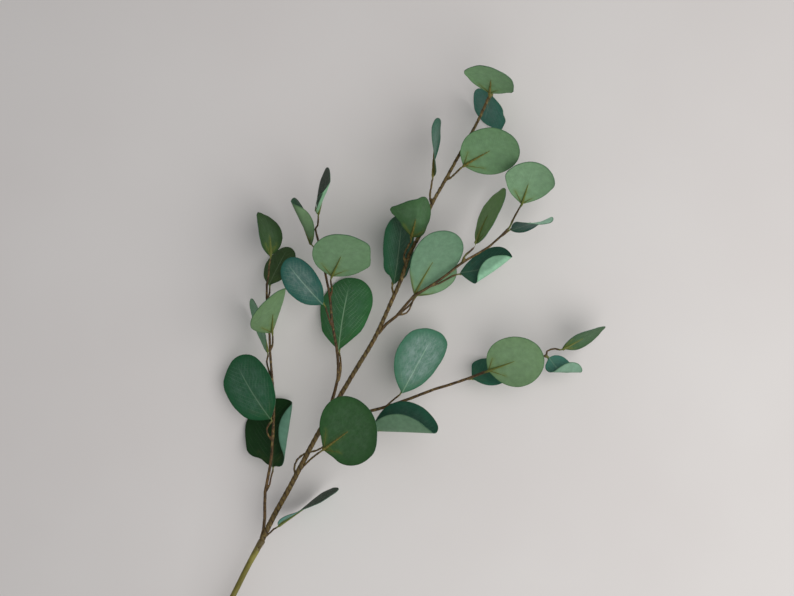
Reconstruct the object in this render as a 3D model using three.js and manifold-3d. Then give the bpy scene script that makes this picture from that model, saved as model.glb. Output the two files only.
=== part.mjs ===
// An artificial silver dollar eucalyptus branch, lying down.
//
// Millimetres, +Z up. The branch lies along +Y with its cut end at low Y, and the surface under it is Z = 0.
// Round fabric blades sit on moulded plastic petioles, which grow out of five moulded twigs. The twigs meet a
// bound main stem, and that stem, the lowest twig and one leaf are plugged into a plain moulded tube on a wire.
import * as THREE from 'three';
import { mergeVertices } from 'three/addons/utils/BufferGeometryUtils.js';
import Module from 'manifold-3d';

const wasm = await Module();
wasm.setup();

// ---- driving dimensions -------------------------------------------------------------------------------------

const CLEARANCE = 0.3; // kept between pieces that touch
const BLADE_THICKNESS = 0.5; // starched fabric
const BLADE_BLUNT = 0.5; // how round every blade's free end is
const BLADE_STEP = 8; // between rulings where the blade is nearly flat
const FOLD_STEP = 2.6; // between rulings round a fold, at most
const FOLD_ANGLE = 28; // degrees of a fold between rulings, at most
const BLADE_CELLS = 6; // along each ruling
const OUTLINE_STEPS = 40; // along one edge of a blade

const PETIOLE_RADIUS = 0.85;
const PETIOLE_SIDES = 5;
const RIB_RADIUS = 1.2; // where the petiole runs out under the blade
const RIB_TIP_RADIUS = 0.35;
const RIB_REACH = 0.5; // share of the blade's length
const RIB_STEPS = 5;
const RIB_SINK = BLADE_THICKNESS / 2 + 0.5; // from the blade's middle to the rib's top
const BUD_RADIUS = 1.1;
const BUD_LENGTH = 4.5;

const TUBE_STEP = 11; // along a stem
const PETIOLE_STEP = 4;
const TWIG_SIDES = 6;
const LEADER_SIDES = 7;
const SLEEVE_SIDES = 12;
const WIRE_RADIUS = 1.1;
const WIRE_DEPTH = 170; // how far the wire reaches into the sleeve
const WIRE_STICK_OUT = 1.5; // past the cut end


// ---- the stems and the leaves on them -----------------------------------------------------------------------
// A stem's radii are those of its two ends, and its route is a smooth curve through its points. Each leaf says
// where its blade starts, how it heads, tips up and turns (degrees), how it cups, curls and twists, and where it
// folds: along a line at an angle to the midrib, some way across it, round a radius, through a turn. Its petiole
// leaves the stem at the first point of its own route.

const SLEEVE = {
  route: [
    [-36, -335.5, 2.5], [-34, -289, 4.5], [-30, -226.5, 9], [-27.5, -160.5, 15],
    [-27.5, -127, 19], [-27, -113, 20.5], [-26.5, -103, 21.5],
  ],
  radius: 2.5,
  mouthRadius: 3.1,
  mouthLength: 22,
};

const LEADER = {
  name: 'twig_leader',
  radii: [2.4, 1.15],
  sides: LEADER_SIDES,
  route: [
    [-26.5, -112, 20.5], [-27, -79.5, 24], [-26, -58, 26.5], [-25.5, -32.5, 29], [-25, -2.5, 31],
    [-22.5, 40, 32], [-20.5, 67.5, 32.5], [-18.5, 93.5, 33], [-19, 113, 33.5], [-20, 130.5, 34],
    [-21, 151, 34.5], [-23, 163, 35], [-24.5, 175.5, 35.5], [-23.5, 191.5, 36], [-26.5, 216.5, 36.5],
    [-25.5, 241, 37.5], [-24.5, 267, 38.5], [-23.5, 289.5, 39], [-23.5, 305.5, 39.5], [-24.5, 323, 40],
  ],
  leaves: [
    {
      name: 'blade_leader_1', base: [-25, 323, 42], length: 47, width: 43, taper: 0.66,
      heading: 116, pitch: 65, roll: 162, cup: -16, curl: -14,
      petiole: [[-24, 321.5, 40]],
    },
    {
      name: 'blade_leader_2', base: [-23.5, 323, 37], length: 40, width: 41, taper: 0.5,
      heading: -75, pitch: -60, roll: 36, cup: -20,
      petiole: [[-23.5, 318.5, 39.5]],
    },
    {
      name: 'blade_leader_3', base: [-17.5, 258.5, 43.5], length: 58, width: 47, taper: 0.54,
      heading: 56, pitch: 30, roll: 205, cup: -8, curl: -18,
      petiole: [[-25, 241.5, 37.5], [-23, 243.5, 38], [-21.5, 247, 39.5], [-19.5, 252.5, 42]], bud: true,
    },
    {
      name: 'blade_leader_4', base: [-35, 240, 38], length: 51, width: 41, taper: 0.5,
      heading: 118, pitch: 12, roll: 101, curl: 8, twist: -36,
      fold: { side: 1, axis: 14, at: 9, radius: 6, turn: 51 },
      petiole: [[-27, 218.5, 36.5], [-30.5, 222, 36.5], [-32, 226, 37], [-34.5, 234, 37.5]], bud: true,
    },
    {
      name: 'blade_leader_5', base: [-29, 185.5, 39], length: 42, width: 40, taper: 0.75,
      heading: 104, pitch: 44, roll: 163, twist: 29,
      fold: { side: -1, axis: 14, at: 5, radius: 6, turn: 69 },
      petiole: [[-24.5, 163.5, 35], [-27.5, 167.5, 36.5], [-28.5, 173.5, 38.5], [-28, 181.5, 39]], bud: true,
    },
    {
      name: 'blade_leader_6', base: [-24.5, 143, 31], length: 61, width: 50, taper: 0.6,
      heading: 107, pitch: -6, roll: 56, cup: -3, curl: -8,
      petiole: [[-20.5, 135, 34], [-24, 139, 33]],
    },
    {
      name: 'blade_leader_7', base: [-14.5, -8, 41], length: 64, width: 60, taper: 0.57,
      heading: 65, pitch: 29, roll: 165, cup: -12, curl: -7,
      petiole: [[-25, -35, 29], [-23, -28, 31], [-21, -21.5, 34], [-18.5, -15.5, 37]], bud: true,
    },
    {
      name: 'blade_leader_8', base: [14.5, 28.5, 27], length: 62, width: 55, taper: 0.51,
      heading: 19, pitch: 24, roll: 9, curl: 5,
      fold: { side: 1, axis: -8, at: -3.4, radius: 7, turn: 153 },
      petiole: [
        [-24, -41, 28], [-29, -36.5, 26.5], [-31, -30, 25.5], [-29.5, -23.5, 25], [-25.5, -18, 25],
        [-20, -13.5, 25.5], [-15, -6.5, 26], [-6.5, 5.5, 26.5], [4, 18.5, 26.5],
      ],
    },
  ],
};

const UPPER_TWIG = {
  name: 'twig_upper',
  radii: [1.4, 0.85],
  route: [
    [-17.5, 99.5, 33], [-16, 108, 34], [-10, 121.5, 35], [-5.5, 141, 36.5], [2, 153, 37.5],
    [8.5, 164, 38], [18.5, 185, 38.5], [25, 195.5, 38], [31.5, 205, 38], [38.5, 222.5, 38.5],
    [41, 232.5, 39], [40.5, 242.5, 39.5], [41, 251, 40],
  ],
  leaves: [
    {
      name: 'blade_upper_1', base: [-5.5, 143, 33], length: 66, width: 44, taper: 0.85,
      heading: 90, pitch: 9, roll: 207, cup: -3, curl: -23,
      petiole: [[-10, 121.5, 35], [-6, 124, 34.5], [-3.5, 127.5, 33.5], [-3.5, 133.5, 32.5], [-4, 138.5, 32]],
      bud: true,
    },
    {
      name: 'blade_upper_2', base: [-2.5, 143, 25], length: 45, width: 32, taper: 0.82,
      heading: 71, pitch: -13, roll: 162, curl: -11,
      petiole: [[-9.5, 122.5, 35], [-6.5, 128.5, 31.5], [-4, 136, 27]],
    },
    {
      name: 'blade_upper_3', base: [21, 177, 33], length: 47, width: 43, taper: 0.8,
      heading: 33, pitch: -2, roll: -39, curl: 26,
      fold: { side: 1, axis: -24, at: 15, radius: 3.2, turn: 172 },
      petiole: [[3.5, 155.5, 37.5], [8, 159.5, 35], [13.5, 167, 34], [18, 173.5, 33.5]],
    },
    {
      name: 'blade_upper_4', base: [22.5, 205, 39], length: 52, width: 45, taper: 0.51,
      heading: 99, pitch: 4, roll: 104, cup: -2, curl: 18, twist: 6,
      petiole: [[18.5, 186, 38.5], [18, 189, 40], [19, 193.5, 40.5], [21, 199, 40], [22.5, 203, 39.5]],
      bud: true,
    },
    {
      name: 'blade_upper_5', base: [41, 252, 41], length: 47, width: 42, taper: 0.75,
      heading: 102, pitch: 38, roll: 184, cup: -19, curl: -12,
      petiole: [[41, 249, 40]],
    },
    {
      name: 'blade_upper_6', base: [43.5, 228.5, 33], length: 39, width: 36, taper: 0.69,
      heading: 53, pitch: 25, roll: 49, curl: 25, twist: 60,
      fold: { side: 1, axis: 42, at: 1, radius: 3, turn: 58 },
      petiole: [[36.5, 217.5, 38.5], [39.5, 222.5, 36]],
    },
  ],
};

const MIDDLE_TWIG = {
  name: 'twig_middle',
  radii: [1.5, 0.95],
  route: [
    [-25, -2.5, 31], [-25, 14, 31.5], [-27.5, 34.5, 32], [-32, 53, 33], [-43, 72.5, 34], [-54, 87, 35],
    [-61.5, 98.5, 36], [-67.5, 108.5, 36.5], [-79.5, 124, 36.5], [-92, 139.5, 36.5], [-99, 148, 36.5],
    [-105, 155, 37],
  ],
  leaves: [
    {
      name: 'blade_middle_1', base: [-74.5, 125.5, 41], length: 57, width: 51, taper: 0.56,
      heading: 88, pitch: 49, roll: 198,
      petiole: [[-68, 109, 36.5], [-68.5, 114.5, 37.5], [-72, 119.5, 39]], bud: true,
    },
    {
      name: 'blade_middle_2', base: [-70, 101, 42], length: 52, width: 37, taper: 0.56,
      heading: 161, pitch: 2, roll: -28, cup: 11, curl: -16,
      petiole: [[-55.5, 88, 35], [-59, 91, 36.5], [-63, 95.5, 38.5], [-66, 98.5, 40]], bud: true,
    },
    {
      name: 'blade_middle_3', base: [-41.5, 72, 29], length: 67, width: 54, taper: 0.76,
      heading: 112, pitch: -10, roll: -29, cup: -12, curl: -18,
      petiole: [[-29.5, 49, 32.5], [-31.5, 57, 32], [-36, 65.5, 31.5]], bud: true,
    },
    {
      name: 'blade_middle_4', base: [-109.5, 167, 38], length: 45, width: 34, taper: 0.62,
      heading: 97, pitch: 32, roll: -67, curl: 2,
      fold: { side: 1, axis: 16, at: 1, radius: 4, turn: 117 },
      petiole: [[-105, 155, 37], [-104.5, 159, 37], [-106.5, 163.5, 37.5]],
    },
    {
      name: 'blade_middle_5', base: [-101.5, 142.5, 36], length: 44, width: 36, taper: 0.67,
      heading: 140, pitch: 21, roll: 73,
      fold: { side: -1, axis: -6, at: 1, radius: 4.5, turn: 116 },
      petiole: [[-92, 139.5, 36.5], [-95.5, 139.5, 36], [-99, 141, 36]],
    },
  ],
};

const LEFT_TWIG = {
  name: 'twig_left',
  radii: [1.5, 1],
  route: [
    [-27.5, -106, 20.5], [-29.5, -94.5, 22], [-33.5, -84, 23], [-42.5, -65.5, 24.5], [-47, -49.5, 25.5],
    [-52, -33.5, 26.5], [-57, -22, 27], [-71, 8.5, 28.5], [-82.5, 27.5, 29.5], [-95.5, 49.5, 30.5],
    [-101.5, 61, 31], [-114.5, 82, 32], [-121, 95, 32.5],
  ],
  leaves: [
    {
      name: 'blade_left_1', base: [-129.5, 117, 35], length: 38, width: 36, taper: 0.5,
      heading: 112, pitch: 1, roll: 238, cup: -20, curl: 34,
      petiole: [[-121, 95, 32.5], [-122.5, 101.5, 33.5], [-126, 109.5, 34.5]],
    },
    {
      name: 'blade_left_2', base: [-119.5, 94.5, 28], length: 41, width: 33, taper: 0.55,
      heading: 94, pitch: -17, roll: -36, cup: -9, curl: -9,
      petiole: [[-114.5, 82, 32], [-115, 86.5, 30.5], [-116.5, 91.5, 29]],
    },
    {
      name: 'blade_left_3', base: [-98.5, 60, 37], length: 50, width: 46, taper: 0.63,
      heading: 108, pitch: 48, roll: 211, twist: 26,
      fold: { side: -1, axis: -19, at: -2, radius: 4.5, turn: 56 },
      petiole: [[-93, 46, 30], [-93, 50, 31.5], [-95, 55, 34]], bud: true,
    },
    {
      name: 'blade_left_4', base: [-96.5, 41.5, 15], length: 50, width: 32, taper: 0.82,
      heading: 123, pitch: -2, roll: -68, cup: 16, curl: 19, twist: -3,
      petiole: [[-81, 23.5, 29.5], [-87, 30, 26.5], [-92, 35, 21]],
    },
    {
      name: 'blade_left_5', base: [-66.5, -6, 33], length: 63, width: 54, taper: 0.59,
      heading: 155, pitch: -2, roll: -30, curl: -24,
      petiole: [[-57, -22.5, 27], [-62.5, -19.5, 28.5], [-66, -13.5, 31]], bud: true,
    },
    {
      name: 'blade_left_6', base: [-47, -43, 22], length: 61, width: 56, taper: 0.6,
      heading: 116, pitch: -18, roll: -18,
      fold: { side: 1, axis: 7, at: 6.8, radius: 4.6, turn: 152 },
      petiole: [[-42.5, -65.5, 24.5], [-42, -58.5, 23.5], [-44, -52, 23]], bud: true,
    },
  ],
};

const RIGHT_TWIG = {
  name: 'twig_right',
  radii: [1.6, 1.05],
  route: [
    [-25, -2.5, 31], [-19.5, 12.5, 28.5], [-6, 27, 25], [16, 46, 22], [33, 63.5, 21.5], [46.5, 78.5, 22],
    [57, 88.5, 23], [69.5, 101.5, 24], [80.5, 113.5, 24.5], [95.5, 125.5, 24], [108.5, 138, 23.5],
    [119, 147.5, 23],
  ],
  leaves: [
    {
      name: 'blade_right_1', base: [23.5, 63.5, 28], length: 63, width: 51, taper: 0.71,
      heading: 89, pitch: 7, roll: 35, cup: -19, curl: 2,
      petiole: [[16, 46, 22], [18, 51.5, 23], [20.5, 57.5, 25.5]],
    },
    {
      name: 'blade_right_2', base: [80, 114, 29], length: 54, width: 48, taper: 0.52,
      heading: 48, pitch: 33, roll: 193, cup: -15, curl: 10,
      petiole: [[69.5, 101.5, 24], [75, 107.5, 26]],
    },
    {
      name: 'blade_right_3', base: [71.5, 101.5, 20], length: 36, width: 34, taper: 0.54,
      heading: 52, pitch: -16, roll: -34, cup: -13, curl: -20,
      petiole: [[67, 99, 24], [69.5, 100, 22.5]],
    },
    {
      name: 'blade_right_4', base: [128, 159, 26], length: 40, width: 33, taper: 0.67,
      heading: 54, pitch: 2, roll: 229, cup: -15, twist: 24,
      petiole: [[119, 147.5, 23], [118, 151.5, 23.5], [120, 154, 24.5], [123.5, 156.5, 25.5]],
    },
    {
      name: 'blade_right_5', base: [122, 147, 23], length: 35, width: 28, taper: 0.51,
      heading: -26, pitch: -8, roll: -24,
      fold: { side: -1, axis: 129, at: 6.4, radius: 6.7, turn: 146 },
      petiole: [[117.5, 146.5, 23], [120.5, 146.5, 23]], bud: true,
    },
  ],
};

const LOW_LEAF = {
  name: 'blade_low', base: [-20.5, -85, 23], length: 59, width: 39, taper: 0.51,
  heading: 60, pitch: -1, roll: -106, curl: -3, twist: 28,
  fold: { side: 1, axis: 42, at: 0.5, radius: 4, turn: 75 },
  petiole: [[-26, -101, 20], [-23, -93.5, 20.5], [-21.5, -89, 21.5]],
};

const TWIGS = [UPPER_TWIG, MIDDLE_TWIG, LEFT_TWIG, RIGHT_TWIG];

// ---- blades -------------------------------------------------------------------------------------------------
// A blade is cut flat, in its own plane: it starts at the origin, runs along +Y, and its upper side faces +Z.
// Rulings parallel to its fold line slice it, so that every ruling stays straight as the fold is made.

const degrees = THREE.MathUtils.degToRad;
const vector = (point) => new THREE.Vector3(...point);

/** The flat outline of a blade, from its base up one edge and back down the other. */
function bladeOutline({ length, width, taper }) {
  const widest = taper / (taper + BLADE_BLUNT);
  const swell = (v) => v ** taper * (1 - v) ** BLADE_BLUNT;
  const right = [];
  for (let i = 0; i <= OUTLINE_STEPS; i += 1) {
    const v = (1 - Math.cos((Math.PI * i) / OUTLINE_STEPS)) / 2;
    right.push(new THREE.Vector2((width / 2) * (swell(v) / swell(widest)), v * length));
  }
  const left = right.slice(1, -1).reverse();
  return right.concat(left.map((p) => new THREE.Vector2(-p.x, p.y)));
}

/** The direction of a blade's rulings, and the direction across them in which it folds. */
function rulingAxes({ fold }) {
  const angle = fold ? degrees(fold.axis) : 0;
  const side = fold ? fold.side : 1;
  return {
    along: new THREE.Vector2(Math.sin(angle), Math.cos(angle)),
    across: new THREE.Vector2(Math.cos(angle), -Math.sin(angle)).multiplyScalar(side),
  };
}

/** Where the rulings lie, measured across them: close together round the fold and towards both ends. */
function rulingPlaces(fold, low, high) {
  const foldStart = fold ? fold.at : high;
  const foldEnd = fold ? fold.at + fold.radius * degrees(Math.abs(fold.turn)) : high;
  const inside = [0, foldStart, foldEnd].filter((cut) => cut > low + 1.5 && cut < high - 1.5);
  const cuts = [low, ...inside.sort((a, b) => a - b), high];
  const places = [low];
  for (let i = 0; i + 1 < cuts.length; i += 1) {
    const [from, to] = [cuts[i], cuts[i + 1]];
    const folded = from >= foldStart && to <= foldEnd;
    const atEnd = from === low || to === high;
    const step = folded ? Math.min(FOLD_STEP, fold.radius * degrees(FOLD_ANGLE)) : BLADE_STEP;
    const count = Math.max(atEnd ? 2 : 1, Math.round((to - from) / step));
    for (let k = 1; k <= count; k += 1) {
      const plain = k / count;
      const fromLow = 1 - Math.cos((Math.PI / 2) * plain);
      const share = from === low ? fromLow : to === high ? Math.sin((Math.PI / 2) * plain) : plain;
      places.push(from + (to - from) * share);
    }
  }
  return places;
}

/** Rows of flat points, one row for each ruling. The first and last rows are a single point. */
function flatRows(leaf) {
  const outline = bladeOutline(leaf);
  const { along, across } = rulingAxes(leaf);
  const reach = outline.map((p) => p.dot(across));
  const travel = outline.map((p) => p.dot(along));
  const low = Math.min(...reach);
  const high = Math.max(...reach);
  const places = rulingPlaces(leaf.fold, low, high);
  return places.map((place, row) => {
    if (row === 0) return [outline[reach.indexOf(low)]];
    if (row === places.length - 1) return [outline[reach.indexOf(high)]];
    const hits = [];
    for (let i = 0; i < outline.length; i += 1) {
      const j = (i + 1) % outline.length;
      if ((reach[i] - place) * (reach[j] - place) > 0 || reach[i] === reach[j]) continue;
      const share = (place - reach[i]) / (reach[j] - reach[i]);
      hits.push(travel[i] + (travel[j] - travel[i]) * share);
    }
    const start = Math.min(...hits);
    const end = Math.max(...hits);
    const points = [];
    for (let k = 0; k <= BLADE_CELLS; k += 1) {
      const at = start + ((end - start) * k) / BLADE_CELLS;
      points.push(along.clone().multiplyScalar(at).addScaledVector(across, place));
    }
    return points;
  });
}

/** Rolls what lies past the fold line round a cylinder. A positive turn rolls it over the upper side. */
function foldPoint(leaf, point) {
  if (!leaf.fold) return point;
  const { at, radius, turn } = leaf.fold;
  const { along, across } = rulingAxes(leaf);
  const run = point.x * along.x + point.y * along.y;
  const reach = point.x * across.x + point.y * across.y;
  const full = degrees(Math.abs(turn));
  const angle = THREE.MathUtils.clamp((reach - at) / radius, 0, full);
  const beyond = Math.max(reach - at - radius * full, 0);
  const bent = reach > at ? at + radius * Math.sin(angle) + beyond * Math.cos(angle) : reach;
  const rise = (radius * (1 - Math.cos(angle)) + beyond * Math.sin(angle)) * Math.sign(turn);
  const lean = angle * Math.sign(turn);
  const out = bent - point.z * Math.sin(lean);
  return new THREE.Vector3(
    run * along.x + out * across.x,
    run * along.y + out * across.y,
    rise + point.z * Math.cos(lean),
  );
}

/** Bends a point so that both ends of one axis lift by a curvature in radians per millimetre. */
function bendPoint(point, axis, curvature) {
  if (Math.abs(curvature) < 1e-6) return point;
  const angle = point[axis] * curvature;
  const arm = 1 / curvature - point.z;
  const bent = point.clone();
  bent[axis] = arm * Math.sin(angle);
  bent.z = 1 / curvature - arm * Math.cos(angle);
  return bent;
}

/** Takes a point of the flat blade, or one above or below it, to its place on the shaped blade. */
function shapePoint(leaf, point) {
  let shaped = foldPoint(leaf, point);
  shaped = bendPoint(shaped, 'x', degrees(leaf.cup ?? 0) / (leaf.width / 2));
  shaped = bendPoint(shaped, 'y', degrees(leaf.curl ?? 0) / leaf.length);
  const twist = (degrees(leaf.twist ?? 0) * shaped.y) / leaf.length;
  return shaped.clone().applyAxisAngle(new THREE.Vector3(0, 1, 0), twist);
}

/** A closed geometry of the given points and triangles, with its faces turned outwards. */
function closedGeometry(points, triangles) {
  let volume = 0;
  for (const [a, b, c] of triangles) {
    volume += points[a].dot(points[b].clone().cross(points[c]));
  }
  const turned = volume < 0 ? triangles.map(([a, b, c]) => [a, c, b]) : triangles;
  const geometry = new THREE.BufferGeometry().setFromPoints(points);
  geometry.setIndex(turned.flat());
  geometry.computeVertexNormals();
  return geometry;
}

/** The triangles between two neighbouring rows of vertex numbers, either of which may be a single one. */
function stripBetween(lower, upper) {
  const triangles = [];
  const cells = Math.max(lower.length, upper.length) - 1;
  for (let k = 0; k < cells; k += 1) {
    if (lower.length > 1) triangles.push([lower[k], lower[k + 1], upper[Math.min(k, upper.length - 1)]]);
    if (upper.length > 1) triangles.push([lower[Math.min(k + 1, lower.length - 1)], upper[k + 1], upper[k]]);
  }
  return triangles;
}

/** One blade: its upper and lower faces, half a thickness either side of its middle, and its rim. */
function bladeGeometry(leaf) {
  const points = [];
  const sheet = (height) =>
    flatRows(leaf).map((row) =>
      row.map((p) => points.push(shapePoint(leaf, new THREE.Vector3(p.x, p.y, height))) - 1),
    );
  const upper = sheet(BLADE_THICKNESS / 2);
  const lower = sheet(-BLADE_THICKNESS / 2);
  const triangles = [];
  for (let row = 0; row + 1 < upper.length; row += 1) {
    triangles.push(...stripBetween(upper[row], upper[row + 1]));
    triangles.push(...stripBetween(lower[row], lower[row + 1]).map(([a, b, c]) => [a, c, b]));
  }
  const edge = (rows) => [
    ...rows.map((row) => row[0]),
    ...rows.slice(1, -1).reverse().map((row) => row[row.length - 1]),
  ];
  const [upperEdge, lowerEdge] = [edge(upper), edge(lower)];
  upperEdge.forEach((start, i) => {
    const next = (i + 1) % upperEdge.length;
    triangles.push([start, upperEdge[next], lowerEdge[i]], [upperEdge[next], lowerEdge[next], lowerEdge[i]]);
  });
  return closedGeometry(points, triangles);
}

// ---- stems, petioles and ribs -------------------------------------------------------------------------------

/** A round tube along a smooth route, closed at both ends. radiusAt gives its radius at a share of its length. */
function tubeGeometry(route, radiusAt, sides, step) {
  const curve = new THREE.CatmullRomCurve3(route, false, 'centripetal');
  const steps = Math.max(2, Math.round(curve.getLength() / step));
  const frames = curve.computeFrenetFrames(steps, false);
  const points = [];
  for (let i = 0; i <= steps; i += 1) {
    const centre = curve.getPointAt(i / steps);
    const radius = radiusAt(i / steps);
    for (let k = 0; k < sides; k += 1) {
      const angle = (2 * Math.PI * k) / sides;
      points.push(
        centre
          .clone()
          .addScaledVector(frames.normals[i], radius * Math.cos(angle))
          .addScaledVector(frames.binormals[i], radius * Math.sin(angle)),
      );
    }
  }
  const triangles = [];
  for (let i = 0; i < steps; i += 1) {
    for (let k = 0; k < sides; k += 1) {
      const [a, b] = [i * sides + k, i * sides + ((k + 1) % sides)];
      triangles.push([a, b, a + sides], [b, b + sides, a + sides]);
    }
  }
  const last = steps * sides;
  for (let k = 1; k + 1 < sides; k += 1) {
    triangles.push([0, k + 1, k], [last, last + k, last + k + 1]);
  }
  return closedGeometry(points, triangles);
}

/** A solid that can be joined and cut. */
function solidOf(geometry) {
  const bare = geometry.clone();
  bare.deleteAttribute('normal');
  bare.deleteAttribute('uv');
  const merged = mergeVertices(bare);
  const vertProperties = new Float32Array(merged.getAttribute('position').array);
  const triVerts = new Uint32Array(merged.getIndex().array);
  return new wasm.Manifold(new wasm.Mesh({ numProp: 3, vertProperties, triVerts }));
}

/** The geometry of a joined or cut solid. */
function geometryOf(solid) {
  const { vertProperties, triVerts } = solid.getMesh();
  const geometry = new THREE.BufferGeometry();
  geometry.setAttribute('position', new THREE.BufferAttribute(vertProperties, 3));
  geometry.setIndex(new THREE.BufferAttribute(triVerts, 1));
  geometry.computeVertexNormals();
  return geometry;
}

/** A stem's bare tube, made fatter by extra to cut its own clearance out of a neighbour. */
function stemSolid({ route, radii, sides = TWIG_SIDES }, extra = 0) {
  const radiusAt = (share) => THREE.MathUtils.lerp(radii[0], radii[1], share) + extra;
  return solidOf(tubeGeometry(route.map(vector), radiusAt, sides, TUBE_STEP));
}

/** Places a blade: its heading in the plane of the branch, the lift of its tip and its turn about its midrib. */
function placeBlade(object, leaf) {
  object.position.set(...leaf.base);
  object.rotation.set(degrees(leaf.pitch), degrees(leaf.roll), degrees(leaf.heading - 90), 'ZXY');
  object.updateMatrix();
  return object;
}

/** A leaf's petiole from its node to the blade, with the rib that it becomes along the blade's underside. */
function petioleSolid(leaf) {
  const place = placeBlade(new THREE.Object3D(), leaf).matrix;
  const ribRadius = (share) => THREE.MathUtils.lerp(RIB_RADIUS, RIB_TIP_RADIUS, share);
  const ribPoint = (share) => {
    const depth = RIB_SINK + ribRadius(Math.max(share, 0));
    const flat = new THREE.Vector3(0, share * RIB_REACH * leaf.length, -depth);
    return shapePoint(leaf, flat).applyMatrix4(place);
  };
  const rib = [];
  for (let i = 0; i <= RIB_STEPS; i += 1) rib.push(ribPoint(i / RIB_STEPS));
  const route = [...leaf.petiole.map(vector), ribPoint(-0.06), ribPoint(0.04)];
  const stalk = tubeGeometry(route, () => PETIOLE_RADIUS, PETIOLE_SIDES, PETIOLE_STEP);
  const ridge = tubeGeometry(rib, ribRadius, PETIOLE_SIDES, leaf.length * (RIB_REACH / RIB_STEPS));
  return solidOf(stalk).add(solidOf(ridge));
}

/** The bud in a leaf's axil, between its petiole and the stem that goes on. */
function budSolid(leaf, stem) {
  const node = vector(leaf.petiole[0]);
  const route = stem.route.map(vector);
  const curve = new THREE.CatmullRomCurve3(route, false, 'centripetal');
  const shares = curve.getSpacedPoints(100).map((p) => p.distanceTo(node));
  const tangent = curve.getTangentAt(shares.indexOf(Math.min(...shares)) / 100);
  const leaving = vector(leaf.petiole[1] ?? leaf.base).sub(node).normalize();
  const way = tangent.add(leaving).normalize();
  const ends = [node, node.clone().addScaledVector(way, BUD_LENGTH)];
  const radiusAt = (share) => BUD_RADIUS * Math.sin(Math.PI * (0.3 + 0.62 * share));
  return solidOf(tubeGeometry(ends, radiusAt, PETIOLE_SIDES, BUD_LENGTH / 3));
}

/** A moulded twig: its stem, every petiole with its rib, and the buds. */
function twigSolid(stem) {
  let twig = stemSolid(stem);
  for (const leaf of stem.leaves) {
    twig = twig.add(petioleSolid(leaf));
    if (leaf.bud) twig = twig.add(budSolid(leaf, stem));
  }
  return twig;
}

// ---- the branch ---------------------------------------------------------------------------------------------

const FABRIC = { color: '#3f7a5c', roughness: 0.75, metalness: 0 };
const BARK = { color: '#5d4a2c', roughness: 0.7, metalness: 0 };
const SLEEVE_PLASTIC = { color: '#6b6a2c', roughness: 0.6, metalness: 0 };
const STEEL = { color: '#8d8f90', roughness: 0.45, metalness: 1 };

const branch = new THREE.Group();

/** Adds one named piece. */
function addPiece(name, geometry, finish) {
  const piece = new THREE.Mesh(geometry, new THREE.MeshStandardMaterial(finish));
  piece.name = name;
  branch.add(piece);
  return piece;
}

const sleeveRoute = SLEEVE.route.map(vector);
const sleeveLength = new THREE.CatmullRomCurve3(sleeveRoute, false, 'centripetal').getLength();
const mouthStart = 1 - SLEEVE.mouthLength / sleeveLength;
const sleeveRadius = (share) =>
  THREE.MathUtils.lerp(SLEEVE.radius, SLEEVE.mouthRadius, THREE.MathUtils.smoothstep(share, mouthStart, 1));

/** The wire's route: straight out of the cut end and up the middle of the sleeve. */
function wireRoute(extra) {
  const curve = new THREE.CatmullRomCurve3(sleeveRoute, false, 'centripetal');
  const outward = curve.getTangentAt(0).negate();
  const route = [curve.getPointAt(0).addScaledVector(outward, WIRE_STICK_OUT + extra)];
  const steps = 8;
  for (let i = 0; i <= steps; i += 1) {
    route.push(curve.getPointAt((((WIRE_DEPTH + extra) / sleeveLength) * i) / steps));
  }
  return route;
}

const wire = tubeGeometry(wireRoute(0), () => WIRE_RADIUS, SLEEVE_SIDES / 2, TUBE_STEP);
const bore = tubeGeometry(wireRoute(1), () => WIRE_RADIUS + CLEARANCE * 1.5, SLEEVE_SIDES / 2, TUBE_STEP);
addPiece('core_wire', wire, STEEL);

const lowStem = { route: LOW_LEAF.petiole, radii: [PETIOLE_RADIUS, PETIOLE_RADIUS], sides: PETIOLE_SIDES };
const leaderClearance = stemSolid(LEADER, CLEARANCE);
let sleeve = solidOf(tubeGeometry(sleeveRoute, sleeveRadius, SLEEVE_SIDES, TUBE_STEP));
sleeve = sleeve.subtract(solidOf(bore)).subtract(leaderClearance);
sleeve = sleeve.subtract(stemSolid(LEFT_TWIG, CLEARANCE)).subtract(stemSolid(lowStem, CLEARANCE));
addPiece('stem_sleeve', geometryOf(sleeve), SLEEVE_PLASTIC);

addPiece(LEADER.name, geometryOf(twigSolid(LEADER)), BARK);
for (const twig of TWIGS) {
  addPiece(twig.name, geometryOf(twigSolid(twig).subtract(leaderClearance)), BARK);
}
const lowPetiole = petioleSolid(LOW_LEAF).subtract(leaderClearance);
addPiece('petiole_low', geometryOf(lowPetiole), BARK);

for (const leaf of [LEADER, ...TWIGS].flatMap((twig) => twig.leaves).concat(LOW_LEAF)) {
  placeBlade(addPiece(leaf.name, bladeGeometry(leaf), FABRIC), leaf);
}

// The origin is in the middle of the branch's box, on the surface that the branch lies on.
const box = new THREE.Box3().setFromObject(branch, true);
const middle = box.getCenter(new THREE.Vector3());
branch.position.set(-middle.x, -middle.y, -box.min.z);

export default branch;
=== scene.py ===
import logging
import math
from dataclasses import dataclass, field
from enum import Enum
from typing import Any, Iterable

import bmesh
import bpy
import numpy as np
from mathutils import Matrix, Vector, noise
from mathutils.bvhtree import BVHTree
from mathutils.geometry import barycentric_transform


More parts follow.
